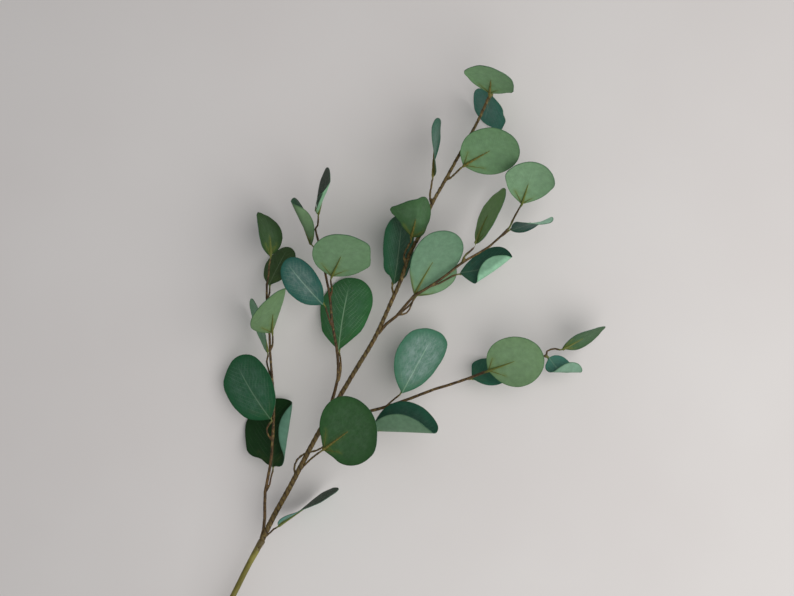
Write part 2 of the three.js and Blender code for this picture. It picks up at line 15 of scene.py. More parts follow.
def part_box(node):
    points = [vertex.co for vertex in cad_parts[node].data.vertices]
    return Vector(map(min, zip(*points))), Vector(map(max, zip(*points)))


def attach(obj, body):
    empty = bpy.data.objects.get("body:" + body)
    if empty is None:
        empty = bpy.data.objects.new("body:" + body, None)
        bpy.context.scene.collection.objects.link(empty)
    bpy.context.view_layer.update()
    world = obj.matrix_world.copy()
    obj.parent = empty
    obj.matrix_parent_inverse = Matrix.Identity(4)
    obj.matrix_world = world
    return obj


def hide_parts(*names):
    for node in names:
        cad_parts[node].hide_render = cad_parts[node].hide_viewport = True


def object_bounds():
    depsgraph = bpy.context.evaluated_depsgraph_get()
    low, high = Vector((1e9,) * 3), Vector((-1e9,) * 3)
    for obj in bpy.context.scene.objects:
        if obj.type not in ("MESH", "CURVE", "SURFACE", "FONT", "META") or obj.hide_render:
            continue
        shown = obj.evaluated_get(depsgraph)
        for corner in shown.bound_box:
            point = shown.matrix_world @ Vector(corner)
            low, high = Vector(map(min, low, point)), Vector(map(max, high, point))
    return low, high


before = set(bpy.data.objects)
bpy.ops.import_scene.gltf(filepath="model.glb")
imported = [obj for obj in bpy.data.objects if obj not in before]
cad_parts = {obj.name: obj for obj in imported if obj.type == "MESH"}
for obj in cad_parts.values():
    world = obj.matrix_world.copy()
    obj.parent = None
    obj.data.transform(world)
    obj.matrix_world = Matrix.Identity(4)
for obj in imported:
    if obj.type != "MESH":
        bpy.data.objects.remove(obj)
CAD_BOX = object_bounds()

# An artificial silver dollar eucalyptus branch, lying on the floor at z = 0. +Y runs from its cut end to
# its tip. Every blade and stem is worked up from its own CAD node, and keeps that node's place.

LOG = logging.getLogger("eucalyptus_branch")

MM = 0.001
UV_SPAN = 0.1  # one unit of a blade's UV map is 100 mm of cloth
UV_MIDRIB = 0.5

MERGE_GAP = 0.01 * MM  # CAD points this close are one point
FABRIC_THICKNESS = 0.5 * MM
FABRIC_LEVELS = 2
RIB_GAP = 1.6 * MM  # the rib's top is this close under a blade, at most
BASE_GAP = 3.0 * MM  # a blade's base is this close to its petiole, at most
SPOT_LIFT = 0.1 * MM  # how far off a face a search for the rib starts
SPOT_STEPS = 9
SPOT_WEIGHTS = [
    ((i + 0.03) / SPOT_STEPS, (k + 0.03) / SPOT_STEPS, 1 - (i + k + 0.06) / SPOT_STEPS)
    for i in range(SPOT_STEPS)
    for k in range(SPOT_STEPS - i)
]
RIM_ANGLES = (85, 80, 75, 70, 65, 60, 55, 50, 45, 40, 35)  # degrees that may part the rim off a blade
SHEET_SHARES = (0.46, 0.5)  # each face's share of a blade's area, once the rim is parted from it
EDGE_UNIT = 10 * MM  # one unit of the place attribute's distance in from the edge


# ---- small tools ---------------------------------------------------------------------------------


def linear(code: str) -> tuple[float, float, float, float]:
    """Turns an sRGB hex colour into linear red, green, blue and alpha.

    Args:
        code: a colour such as "#7fa684".

    Returns:
        The linear colour, fully opaque.
    """
    channels = [int(code[i : i + 2], 16) / 255 for i in (1, 3, 5)]
    parts = [c / 12.92 if c <= 0.04045 else ((c + 0.055) / 1.055) ** 2.4 for c in channels]
    return (parts[0], parts[1], parts[2], 1.0)


def smooth_step(low: float, high: float, value: Any) -> Any:
    """The smooth rise from 0 at low to 1 at high, of a number or an array."""
    share = np.clip((value - low) / (high - low), 0, 1)
    return share * share * (3 - 2 * share)


def select_only(*pieces: bpy.types.Object) -> None:
    """Leaves these pieces selected and nothing else, with the first one active.

    Args:
        pieces: the objects to select.
    """
    bpy.ops.object.select_all(action="DESELECT")
    for piece in pieces:
        piece.select_set(True)
    bpy.context.view_layer.objects.active = pieces[0]


def add_modifier(piece: bpy.types.Object, kind: str, **settings: Any) -> None:
    """Adds a modifier with its settings and applies it.

    Args:
        piece: the mesh object.
        kind: the modifier's type, such as "SOLIDIFY".
        settings: the modifier's properties.
    """
    modifier = piece.modifiers.new(kind.title(), kind)
    for name, value in settings.items():
        setattr(modifier, name, value)
    select_only(piece)
    bpy.ops.object.modifier_apply(modifier=modifier.name)


def copy_of(node: str, name: str) -> bpy.types.Object:
    """A merged copy of a CAD node's mesh as a new object.

    Args:
        node: the CAD node.
        name: the new piece's name.

    Returns:
        The new object, at the origin.
    """
    piece = bpy.data.objects.new(name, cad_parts[node].data.copy())
    piece.data.name = name
    piece.data.materials.clear()
    bpy.context.scene.collection.objects.link(piece)
    select_only(piece)
    bpy.ops.object.mode_set(mode="EDIT")
    bpy.ops.mesh.select_all(action="SELECT")
    bpy.ops.mesh.remove_doubles(threshold=MERGE_GAP)
    bpy.ops.object.mode_set(mode="OBJECT")
    return piece


def points_of(mesh: bpy.types.Mesh) -> np.ndarray:
    """A mesh's points as an array.

    Args:
        mesh: the mesh.

    Returns:
        Rows of x, y and z in metres.
    """
    flat = np.zeros(len(mesh.vertices) * 3, np.float64)
    mesh.vertices.foreach_get("co", flat)
    return flat.reshape(-1, 3)


def normals_of(mesh: bpy.types.Mesh) -> np.ndarray:
    """A mesh's point normals as an array.

    Args:
        mesh: the mesh.

    Returns:
        Rows of x, y and z, each one unit long.
    """
    flat = np.zeros(len(mesh.vertices) * 3, np.float32)
    mesh.vertex_normals.foreach_get("vector", flat)
    return flat.reshape(-1, 3).astype(np.float64)


def move_points(mesh: bpy.types.Mesh, points: np.ndarray) -> None:
    """Puts a mesh's points in new places."""
    mesh.vertices.foreach_set("co", points.astype(np.float32).ravel())
    mesh.update()


def tree_of(nodes: Iterable[str]) -> BVHTree:
    """A search tree over the surfaces of some CAD nodes.

    Args:
        nodes: the nodes' names.

    Returns:
        The tree, in metres.
    """
    points: list[Vector] = []
    faces: list[list[int]] = []
    for node in nodes:
        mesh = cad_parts[node].data
        start = len(points)
        points.extend(v.co.copy() for v in mesh.vertices)
        faces.extend([start + i for i in polygon.vertices] for polygon in mesh.polygons)
    return BVHTree.FromPolygons(points, faces)


def add_node(
    tree: bpy.types.NodeTree, kind: str, inputs: dict[Any, Any] | None = None, **settings: Any
) -> Any:
    """Adds one shader node with its settings and links.

    Args:
        tree: the material's node tree.
        kind: the node's type name.
        inputs: for each input's name or number, a value, or the output socket that feeds it.
        settings: the node's own properties.

    Returns:
        The new node.
    """
    made = tree.nodes.new(kind)
    for name, value in settings.items():
        setattr(made, name, value)
    for key, value in (inputs or {}).items():
        if isinstance(value, bpy.types.NodeSocket):
            tree.links.new(value, made.inputs[key])
        else:
            made.inputs[key].default_value = value
    return made


# ---- finishes ------------------------------------------------------------------------------------


@dataclass
class Graph:
    """A new material's node tree, and short ways to the sums that its patterns are made of."""

    name: str
    material: bpy.types.Material = field(init=False)
    tree: bpy.types.NodeTree = field(init=False)

    def __post_init__(self) -> None:
        """Starts an empty tree."""
        self.material = bpy.data.materials.new(self.name)
        self.material.use_nodes = True
        self.tree = self.material.node_tree
        self.tree.nodes.clear()

    def math(self, operation: str, *values: Any) -> Any:
        """A sum of numbers or sockets, by one Math node."""
        inputs = dict(enumerate(values))
        return add_node(self.tree, "ShaderNodeMath", inputs, operation=operation).outputs[0]

    def ramp(self, value: Any, low: float, high: float, start: float = 0.0, end: float = 1.0) -> Any:
        """A smooth rise or fall from start at low to end at high.

        Args:
            value: the number or socket that moves it.
            low: where it starts.
            high: where it ends.
            start: what it gives up to low.
            end: what it gives from high on.

        Returns:
            The socket with the result.
        """
        inputs = {0: value, 1: low, 2: high, 3: start, 4: end}
        made = add_node(self.tree, "ShaderNodeMapRange", inputs, interpolation_type="SMOOTHSTEP")
        return made.outputs[0]

    def blend(self, share: Any, low: Any, high: Any, way: str = "MIX") -> Any:
        """Two colours mixed by a share.

        Args:
            share: how much of the second one shows.
            low: the first colour.
            high: the second colour.
            way: how the second one is laid on the first.

        Returns:
            The socket with the colour.
        """
        inputs = {0: share, 6: low, 7: high}
        made = add_node(self.tree, "ShaderNodeMix", inputs, data_type="RGBA", blend_type=way)
        return made.outputs[2]

    def cloud(self, where: Any, size_mm: float, detail: float = 2.0, rough: float = 0.5) -> Any:
        """Noise with patches of one size in millimetres, where the place is in metres."""
        inputs = {"Vector": where, "Scale": 1 / (size_mm * MM), "Detail": detail, "Roughness": rough}
        return add_node(self.tree, "ShaderNodeTexNoise", inputs).outputs[0]

    def place(self) -> Any:
        """The place on the object, in metres."""
        return add_node(self.tree, "ShaderNodeTexCoord").outputs["Object"]

    def stretched(self, where: Any, scale: tuple[float, float, float]) -> Any:
        """A place scaled along each axis."""
        return add_node(self.tree, "ShaderNodeMapping", {"Vector": where, "Scale": scale}).outputs[0]

    def attribute(self, name: str) -> Any:
        """The node of one of the mesh's own attributes."""
        return add_node(self.tree, "ShaderNodeAttribute", attribute_name=name)

    def bump(self, height: Any, depth_mm: float, strength: float = 1.0, over: Any = None) -> Any:
        """A relief on top of another one.

        Args:
            height: the socket with the height, from 0 to 1.
            depth_mm: the depth that 1 stands for, in millimetres.
            strength: how strongly it shows.
            over: the relief below it, if there is one.

        Returns:
            The socket with the bent normal.
        """
        inputs = {"Height": height, "Distance": depth_mm * MM, "Strength": strength}
        if over is not None:
            inputs["Normal"] = over
        return add_node(self.tree, "ShaderNodeBump", inputs).outputs[0]

    def finish(self, **surface: Any) -> bpy.types.Material:
        """Adds the surface shader and the output.

        Args:
            surface: the shader's inputs, with _ for each space in their names.

        Returns:
            The finished material.
        """
        inputs = {name.replace("_", " "): value for name, value in surface.items()}
        shader = add_node(self.tree, "ShaderNodeBsdfPrincipled", inputs)
        add_node(self.tree, "ShaderNodeOutputMaterial", {"Surface": shader.outputs[0]})
        return self.material


@dataclass(frozen=True)
class ClothPlace:
    """Where a point lies in a blade's cloth, as sockets of its material."""

    flat: Any  # the two numbers of the UV map
    metres: Any  # the place in the flat cloth, in metres
    signed: Any  # millimetres to the right of the midrib
    along: Any  # millimetres up from the base
    share: Any  # the same, as a share of the blade's length
    edge: Any  # centimetres in from the edge
    rib: Any  # 1 beside a rib, and 0 away from it


@dataclass(frozen=True)
class PrintedFabric:
    """Woven polyester, starched and heat pressed, with the leaf's colours printed on one side.

    The eye gets a matt face with a fine thread grain, pressed veins, and ink that sits unevenly in the weave.
    """

    name: str
    vein: str  # the colour of the veins
    vein_strength: float
    midrib_strength: float
    bloom: str  # the chalky colour that lies over the middle
    rim: str  # how the ink along the edge is tinted
    rim_strength: float
    stain: str  # where glue and plastic have run out beside the ribs
    stain_strength: float
    roughness: float
    relief: float  # 1 where the veins are pressed in, -1 where they stand out
    vein_pitch_mm: float = 5.2
    small_vein_share: float = 0.42  # the small veins' pitch as a share of the other one
    thread_mm: float = 0.7  # drawn wider than the real 0.3 mm, so that it shows

    def material(self) -> bpy.types.Material:
        """Makes the material. It reads the blade's UV map, its place and veining attributes, and its ink
        attribute, which holds painted shade and painted light as well as the print.

        Returns:
            The finished material.
        """
        g = Graph(self.name)
        at = self._place(g)
        midrib, veins = self._veins(g, at)
        smooth, rough = self.roughness - 0.07, self.roughness + 0.09
        return g.finish(
            Base_Color=self._ink_and_shade(g, at, midrib, veins),
            Roughness=g.ramp(g.cloud(at.metres, 3.0, 4.0), 0.3, 0.7, smooth, rough),
            Normal=self._relief(g, at, g.math("MAXIMUM", veins, midrib)),
            Sheen_Weight=0.03, Sheen_Roughness=0.5, Specular_IOR_Level=0.22,
        )

    @staticmethod
    def _place(g: Graph) -> ClothPlace:
        """Reads the blade's map and its place attribute.

        Args:
            g: the material's graph.

        Returns:
            The place in the cloth.
        """
        uv = add_node(g.tree, "ShaderNodeUVMap", uv_map="cloth").outputs[0]
        flat = add_node(g.tree, "ShaderNodeSeparateXYZ", {0: uv}).outputs
        place = add_node(g.tree, "ShaderNodeSeparateXYZ", {0: g.attribute("place").outputs["Vector"]}).outputs
        return ClothPlace(
            flat=flat,
            metres=g.stretched(uv, (UV_SPAN, UV_SPAN, UV_SPAN)),
            signed=g.math("MULTIPLY", g.math("SUBTRACT", flat[0], UV_MIDRIB), UV_SPAN / MM),
            along=g.math("MULTIPLY", flat[1], UV_SPAN / MM),
            share=place[0],
            edge=place[1],
            rib=place[2],
        )

    def _veins(self, g: Graph, at: ClothPlace) -> tuple[Any, Any]:
        """Draws the midrib, the side veins that climb from it, and the small ones that cross them.

        Args:
            g: the material's graph.
            at: the place in the cloth.

        Returns:
            How strongly the midrib and the other veins show, from 0 to 1.
        """
        across = g.math("ABSOLUTE", at.signed)
        wander = g.math("MULTIPLY", g.math("SUBTRACT", g.cloud(at.metres, 13.0, 1.0), 0.5), 3.0)
        climb = g.math("MULTIPLY", across, g.ramp(across, 0.0, 30.0, 1.05, 1.35))
        step = g.math("MULTIPLY", g.math("SIGN", at.signed), 0.31)
        rise = g.math("ADD", g.math("SUBTRACT", at.along, climb), wander)
        side = self._lines(g, g.math("ADD", g.math("DIVIDE", rise, self.vein_pitch_mm), step), 0.11)
        fall = g.math("ADD", g.math("ADD", at.along, g.math("MULTIPLY", across, 0.55)), wander)
        small = self._lines(g, g.math("DIVIDE", fall, self.vein_pitch_mm * self.small_vein_share), 0.2)
        worn = g.ramp(g.cloud(at.metres, 12.0, 3.0), 0.3, 0.62)
        fade = g.math("MULTIPLY", g.ramp(at.edge, 0.05, 0.6), worn)
        side = g.math("MULTIPLY", side, fade)
        small = g.math("MULTIPLY", g.math("MULTIPLY", small, fade), 0.35)
        short = g.ramp(at.share, 0.62, 0.9, 1.0, 0.0)
        midrib = g.math("MULTIPLY", g.ramp(across, 0.25, 0.85, 1.0, 0.0), short)
        return midrib, g.math("MAXIMUM", side, small)

    @staticmethod
    def _lines(g: Graph, phase: Any, width: float) -> Any:
        """Thin soft lines at the halves of a phase, as wide as a share of their pitch."""
        off = g.math("ABSOLUTE", g.math("SUBTRACT", g.math("FRACT", phase), 0.5))
        return g.ramp(off, 0.0, width, 1.0, 0.0)

    def _ink_and_shade(self, g: Graph, at: ClothPlace, midrib: Any, veins: Any) -> Any:
        """Lays the colours over each other, from the mottled ink, with each leaf's painted shade in it, up to
        the stains beside the ribs.

        Args:
            g: the material's graph.
            at: the place in the cloth.
            midrib: how strongly the midrib shows.
            veins: how strongly the other veins show.

        Returns:
            The socket with the colour.
        """
        # the ink attribute holds each leaf's painted shade and painted light as well as its print
        ink_and_shade = g.attribute("ink_and_shade").outputs
        mottle = g.ramp(g.cloud(at.metres, 5.0, 6.0, 0.66), 0.25, 0.78, 0.86, 1.13)
        grey = add_node(g.tree, "ShaderNodeCombineColor", {0: mottle, 1: mottle, 2: mottle}).outputs[0]
        base = g.blend(1.0, ink_and_shade["Color"], grey, "MULTIPLY")
        patches = g.ramp(g.cloud(at.metres, 7.0, 6.0, 0.68), 0.3, 0.7, 0.15, 0.85)
        streaks = g.ramp(g.cloud(g.stretched(at.metres, (1.0, 0.28, 1.0)), 1.8, 5.0, 0.66), 0.35, 0.7)
        chalk = g.math("ADD", patches, g.math("MULTIPLY", streaks, 0.6))
        chalk = g.math("MULTIPLY", chalk, g.ramp(at.edge, 0.05, 1.3))
        chalk = g.math("MULTIPLY", g.math("MULTIPLY", chalk, ink_and_shade["Alpha"]), 0.7)
        base = g.blend(g.math("MINIMUM", chalk, 1.0), base, linear(self.bloom))
        rim = g.math("MULTIPLY", g.ramp(at.edge, 0.0, 0.16, 1.0, 0.0), self.rim_strength)
        base = g.blend(rim, base, g.blend(1.0, ink_and_shade["Color"], linear(self.rim), "MULTIPLY"))
        pale = g.blend(0.5, g.blend(1.0, base, (1.9, 1.9, 1.9, 1.0), "MULTIPLY"), linear(self.vein))
        veining = g.attribute("veining").outputs["Fac"]
        for lines, strength in ((veins, self.vein_strength), (midrib, self.midrib_strength)):
            base = g.blend(g.math("MULTIPLY", g.math("MULTIPLY", lines, veining), strength), base, pale)
        run = g.math("MULTIPLY", at.rib, self.stain_strength)
        run = g.math("MULTIPLY", run, g.ramp(g.cloud(at.metres, 4.0), 0.2, 0.6))
        return g.blend(run, base, linear(self.stain))

    def _relief(self, g: Graph, at: ClothPlace, veins: Any) -> Any:
        """Stacks the threads, the soft creases and the pressed veins.

        Args:
            g: the material's graph.
            at: the place in the cloth.
            veins: how strongly any vein shows.

        Returns:
            The socket with the bent normal.
        """
        turns = 2 * math.pi * UV_SPAN / (self.thread_mm * MM)
        warp, weft = (g.math("SINE", g.math("MULTIPLY", at.flat[i], turns)) for i in (0, 1))
        normal = g.bump(g.math("MULTIPLY", warp, weft), 0.05, 0.5)
        normal = g.bump(g.cloud(at.metres, 3.5, 4.0), 0.35, 0.35, normal)
        return g.bump(g.math("MULTIPLY", veins, -self.relief), 0.22, 0.7, normal)


@dataclass(frozen=True)
class DyedEdge:
    """The cut and heat sealed edge of the printed fabric: a hard, darker line with a faint thread grain."""

    name: str = "heat_sealed_fabric_edge"
    colour: str = "#2c5140"
    worn: str = "#4b7459"

    def material(self) -> bpy.types.Material:
        """Makes the material.

        Returns:
            The finished material.
        """
        g = Graph(self.name)
        where = g.place()
        tint = g.blend(g.ramp(g.cloud(where, 2.5, 3.0), 0.35, 0.65), linear(self.colour), linear(self.worn))
        normal = g.bump(g.cloud(where, 0.6, 2.0), 0.1, 0.5)
        rough = g.ramp(g.cloud(where, 1.5), 0.3, 0.7, 0.55, 0.8)
        return g.finish(Base_Color=tint, Roughness=rough, Normal=normal)


@dataclass(frozen=True)
class MouldedStem:
    """Injection moulded polyethylene over wire, hand tinted brown, left olive where it thins under a leaf.

    The eye gets a satin skin with long flow marks, dabs of darker stain, paler tan patches placed by noise
    that are painted highlights, and small scars; where tape is wound, painted highlights on its crests and
    painted shade in its grooves.
    """

    name: str
    dark: str
    mid: str
    light: str
    olive: str
    red: str = "#6b3a26"
    speck: str = "#2e2214"
    wrap: float = 0.0  # depth in millimetres of the tape wound round it

    def material(self) -> bpy.types.Material:
        """Makes the material. It reads the stem's own leafward and wrap attributes.

        Returns:
            The finished material.
        """
        g = Graph(self.name)
        where = g.place()
        leafward = g.attribute("leafward").outputs["Fac"]
        red = g.ramp(g.cloud(where, 16.0, 2.0), 0.56, 0.72)
        grain = g.cloud(g.stretched(where, (1.0, 0.25, 1.0)), 1.7, 5.0, 0.6)
        base = g.blend(g.ramp(grain, 0.32, 0.62), linear(self.dark), linear(self.mid))
        # painted highlights: paler tan patches, placed by noise, stand in for light on the stem's knobs
        base = g.blend(g.ramp(g.cloud(where, 3.2, 5.0, 0.65), 0.5, 0.72), base, linear(self.light))
        base = g.blend(g.math("MULTIPLY", red, 0.2), base, linear(self.red))
        knot = g.ramp(g.cloud(where, 6.5, 2.0), 0.53, 0.64)
        base = g.blend(g.math("MULTIPLY", knot, 0.6), base, linear(self.dark))
        speck = g.ramp(g.cloud(where, 0.9, 2.0), 0.6, 0.72)
        base = g.blend(g.math("MULTIPLY", speck, 0.4), base, linear(self.speck))
        thin = g.math("MULTIPLY", leafward, g.ramp(grain, 0.2, 0.6, 0.65, 1.0))
        base = g.blend(thin, base, linear(self.olive))
        normal = g.bump(grain, 0.3, 0.6)
        if self.wrap:
            ridge = g.attribute("wrap").outputs["Fac"]
            # painted light on the tape: painted shade in the groove where one turn laps the last, and a
            # painted highlight on the crest of each turn
            groove_shade = g.ramp(ridge, 0.0, 0.3, 1.0, 0.0)
            base = g.blend(g.math("MULTIPLY", g.ramp(ridge, 0.55, 0.95), 0.25), base, linear(self.light))
            base = g.blend(g.math("MULTIPLY", groove_shade, 0.4), base, linear(self.dark))
            normal = g.bump(ridge, self.wrap, 0.6, normal)
        rough = g.ramp(g.cloud(where, 2.0, 4.0), 0.3, 0.7, 0.42, 0.66)
        return g.finish(Base_Color=base, Roughness=rough, Normal=normal, IOR=1.51, Specular_IOR_Level=0.3)


@dataclass(frozen=True)
class MouldedTube:
    """Extruded polyethylene tube, dyed olive.

    The eye gets long faint draw lines, broad paler patches that are painted highlights, small darker scars,
    and brown stain where the tube meets the stems.
    """

    mouth: tuple[float, float]  # the Y range, in metres, over which it turns brown
    name: str = "extruded_olive_polyethylene"
    dark: str = "#5b5717"
    mid: str = "#746e27"
    # the colour of the painted highlights
    light: str = "#858034"
    scar: str = "#4a4618"
    stain: str = "#57492a"

    def material(self) -> bpy.types.Material:
        """Makes the material.

        Returns:
            The finished material.
        """
        g = Graph(self.name)
        where = g.place()
        height = add_node(g.tree, "ShaderNodeSeparateXYZ", {0: where}).outputs[1]
        draw = g.cloud(g.stretched(where, (1.0, 0.06, 1.0)), 1.1, 4.0, 0.6)
        base = g.blend(g.ramp(draw, 0.3, 0.68), linear(self.dark), linear(self.mid))
        # painted highlights: broad paler patches, placed by noise
        base = g.blend(g.ramp(g.cloud(where, 14.0, 4.0), 0.5, 0.7), base, linear(self.light))
        scars = g.ramp(g.cloud(where, 1.3, 3.0), 0.6, 0.74)
        base = g.blend(g.math("MULTIPLY", scars, 0.45), base, linear(self.scar))
        ragged = g.math("MULTIPLY", g.math("SUBTRACT", g.cloud(where, 3.0, 3.0), 0.5), 0.02)
        brown = g.ramp(g.math("ADD", height, ragged), *self.mouth)
        base = g.blend(g.math("MULTIPLY", brown, 0.85), base, linear(self.stain))
        normal = g.bump(draw, 0.12, 0.5)
        rough = g.ramp(g.cloud(where, 2.4, 4.0), 0.3, 0.7, 0.34, 0.56)
        return g.finish(Base_Color=base, Roughness=rough, Normal=normal, IOR=1.51)


@dataclass(frozen=True)
class DrawnWire:
    """Cold drawn steel wire: bright lengthwise die lines on a dull grey metal."""

    name: str = "cold_drawn_steel"
    dark: str = "#7d7f80"
    light: str = "#a5a6a4"

    def material(self) -> bpy.types.Material:
        """Makes the material.

        Returns:
            The finished material.
        """
        g = Graph(self.name)
        where = g.place()
        lines = g.cloud(g.stretched(where, (1.0, 0.05, 1.0)), 0.4, 4.0, 0.6)
        base = g.blend(g.ramp(lines, 0.3, 0.7), linear(self.dark), linear(self.light))
        normal = g.bump(lines, 0.03, 0.5)
        rough = g.ramp(lines, 0.3, 0.7, 0.32, 0.5)
        return g.finish(Base_Color=base, Metallic=1.0, Roughness=rough, Normal=normal)


@dataclass(frozen=True)
class PlainFloor:
    """Matt emulsion paint on a flat board: almost even, with a very faint roller grain."""

    name: str = "matt_emulsion_paint"
    dark: str = "#d9d6d4"
    light: str = "#dddbd9"

    def material(self) -> bpy.types.Material:
        """Makes the material.

        Returns:
            The finished material.
        """
        g = Graph(self.name)
        where = g.place()
        base = g.blend(g.ramp(g.cloud(where, 260.0, 3.0), 0.3, 0.7), linear(self.dark), linear(self.light))
        normal = g.bump(g.cloud(where, 2.0, 3.0), 0.05, 0.2)
        rough = g.ramp(g.cloud(where, 40.0), 0.3, 0.7, 0.88, 0.95)
        return g.finish(Base_Color=base, Roughness=rough, Normal=normal, Specular_IOR_Level=0.2)


UPPER_PRINT = PrintedFabric(
    name="printed_polyester_upper", vein="#a9c2a6", vein_strength=0.8, midrib_strength=1.4,
    bloom="#7f9892", rim="#9fd0b0", rim_strength=0.5, stain="#6c6a36", stain_strength=0.1,
    roughness=0.58, relief=1.0,
)
UNDER_PRINT = PrintedFabric(
    name="printed_polyester_underside", vein="#7d9c74", vein_strength=0.35, midrib_strength=0.3,
    bloom="#9db8a2", rim="#8fb795", rim_strength=0.6, stain="#6f7f36", stain_strength=0.5,
    roughness=0.64, relief=-0.6,
)
# the light colour of each stem finish is the colour of its painted highlights
TWIG_FINISH = MouldedStem(
    name="moulded_polyethylene_twig", dark="#2c1f10", mid="#594320", light="#857240", olive="#687233",
)
LEADER_FINISH = MouldedStem(
    name="tape_bound_main_stem", dark="#281d0e", mid="#523f1e", light="#857440", olive="#6f6d2c", wrap=0.3,
)


# ---- leaves --------------------------------------------------------------------------------------


class Face(Enum):
    """The faces of a blade, numbered as its material slots."""

    UPPER = 0
    UNDER = 1
    EDGE = 2


@dataclass(frozen=True)
class Look:
    """The ink on one leaf: its two colours, which hold painted shade and painted light as well as the print,
    and how strongly the upper side's bloom and veins are printed.
    """

    upper: str
    under: str
    bloom: float
    veins: float


TURNED_UPPER = "#2a6450"  # the upper ink of a leaf that lies on its face
TURNED_UNDER = "#6f9c78"  # the ink under a leaf that lies on its back
UNDER_BLOOM = 0.12

# each leaf's ink: its own print with painted shade and light in it, darker where a leaf lies in shade and
# paler where it lies in light
LOOKS = {
    "blade_leader_1": Look(TURNED_UPPER, "#759d6f", 0.2, 0.2),
    "blade_leader_2": Look("#408372", TURNED_UNDER, 0.5, 0.15),
    "blade_leader_3": Look(TURNED_UPPER, "#70976c", 0.2, 0.2),
    "blade_leader_4": Look("#346652", "#465a2f", 0.4, 0.15),
    "blade_leader_5": Look(TURNED_UPPER, "#3f643c", 0.2, 0.2),
    "blade_leader_6": Look("#114b2d", TURNED_UNDER, 0.15, 0.3),
    "blade_leader_7": Look(TURNED_UPPER, "#315d2f", 0.1, 0.2),
    "blade_leader_8": Look("#265a45", "#668a6c", 0.25, 0.15),
    "blade_left_1": Look(TURNED_UPPER, "#315026", 0.1, 0.15),
    "blade_left_2": Look("#345025", TURNED_UNDER, 0.0, 0.15),
    "blade_left_3": Look(TURNED_UPPER, "#65855a", 0.1, 0.2),
    "blade_left_4": Look("#6d9e76", TURNED_UNDER, 0.3, 0.15),
    "blade_left_5": Look("#165832", TURNED_UNDER, 0.25, 0.3),
    "blade_left_6": Look("#0e350f", "#517b67", 0.0, 0.12),
    "blade_low": Look("#16391f", "#578e83", 0.0, 0.1),
    "blade_middle_1": Look(TURNED_UPPER, "#6d916a", 0.2, 0.2),
    "blade_middle_2": Look("#2d685c", TURNED_UNDER, 0.9, 0.5),
    "blade_middle_3": Look("#346f3d", TURNED_UNDER, 0.2, 0.7),
    "blade_middle_4": Look("#15351d", "#8abb95", 0.0, 0.1),
    "blade_middle_5": Look("#124a2a", "#67865f", 0.1, 0.15),
    "blade_right_1": Look("#396e55", TURNED_UNDER, 0.95, 0.35),
    "blade_right_2": Look(TURNED_UPPER, "#709167", 0.2, 0.2),
    "blade_right_3": Look("#235a45", TURNED_UNDER, 0.0, 0.1),
    "blade_right_4": Look(TURNED_UPPER, "#3a5f39", 0.1, 0.15),
    "blade_right_5": Look("#3c7969", "#769c84", 0.35, 0.2),
    "blade_upper_1": Look(TURNED_UPPER, "#668b6e", 0.2, 0.2),
    "blade_upper_2": Look(TURNED_UPPER, "#8cb489", 0.1, 0.15),
    "blade_upper_3": Look("#2a5a48", "#8cbe9d", 0.1, 0.15),
    "blade_upper_4": Look(TURNED_UPPER, "#6b9451", 0.1, 0.15),
    "blade_upper_5": Look(TURNED_UPPER, "#799d78", 0.2, 0.2),
    "blade_upper_6": Look("#164439", "#aee0c3", 0.2, 0.15),
}


@dataclass(frozen=True)
class Pull:
    """A place where a leaf's edge was cut fuller or shorter than its oval."""

    angle: float  # degrees round from the tip, towards the blade's right
    reach: float  # millimetres outwards
    spread: float = 15.0  # degrees


# the leaves that aren't plain ovals: a beak, a corner or a notch each
OUTLINES = {
    "blade_leader_1": (Pull(75, 2.5), Pull(-109, 2.0), Pull(-17, -1.4)),
    "blade_leader_2": (Pull(-50, 3.0), Pull(-112, -2.0), Pull(40, 1.5)),
    "blade_leader_5": (Pull(80, 4.5), Pull(125, -1.0)),
    "blade_leader_6": (Pull(-138, 2.0), Pull(-163, -1.8, 10.0), Pull(138, 1.5), Pull(163, -1.8, 10.0)),
    "blade_leader_7": (Pull(-160, -1.5, 12.0), Pull(160, -1.0, 12.0), Pull(-60, 1.2)),
    "blade_upper_4": (Pull(0, 2.0), Pull(60, -1.0)),
    "blade_upper_5": (Pull(75, 1.2), Pull(-75, 1.2)),
    "blade_middle_1": (Pull(-36, 1.6), Pull(-97, 1.6), Pull(-66, -0.8, 12.0)),
    "blade_middle_3": (Pull(-130, 1.2), Pull(130, 1.0), Pull(-20, 1.0)),
    "blade_left_1": (Pull(22, 3.5), Pull(70, -1.0)),
    "blade_left_5": (Pull(-55, 1.2), Pull(-130, 1.0)),
    "blade_left_6": (Pull(-125, 2.2), Pull(-155, -2.2, 12.0), Pull(165, 2.0, 8.0)),
    "blade_right_1": (Pull(45, 1.4), Pull(-45, 1.0), Pull(0, -0.6, 12.0)),
    "blade_right_3": (Pull(-120, 1.6), Pull(60, 1.2)),
    "blade_right_4": (Pull(0, 3.0),),
    "blade_low": (Pull(12, 3.5), Pull(-25, -1.5)),
}


@dataclass
class FlatCloth:
    """A sheet laid out flat: each of its points in the cut cloth, in metres, with the midrib along +Y."""

    points: np.ndarray
    flat: np.ndarray
    triangles: list[tuple[int, int, int]]
    cloth: BVHTree = field(init=False)

    def __post_init__(self) -> None:
        """Builds the search tree in the flat."""
        flat = [Vector((x, y, 0.0)) for x, y in self.flat]
        self.cloth = BVHTree.FromPolygons(flat, self.triangles)

    def in_space(self, x: float, y: float) -> Vector:
        """The place in space of the point of the sheet nearest to a point of the flat cloth.

        Args:
            x: metres to the right of the midrib.
            y: metres up from the base.

        Returns:
            The place, in metres.
        """
        near, _, index, _ = self.cloth.find_nearest(Vector((x, y, 0.0)))
        corners = self.triangles[index]
        flat = [Vector((*self.flat[i], 0.0)) for i in corners]
        space = [Vector(self.points[i]) for i in corners]
        return barycentric_transform(near, *flat, *space)


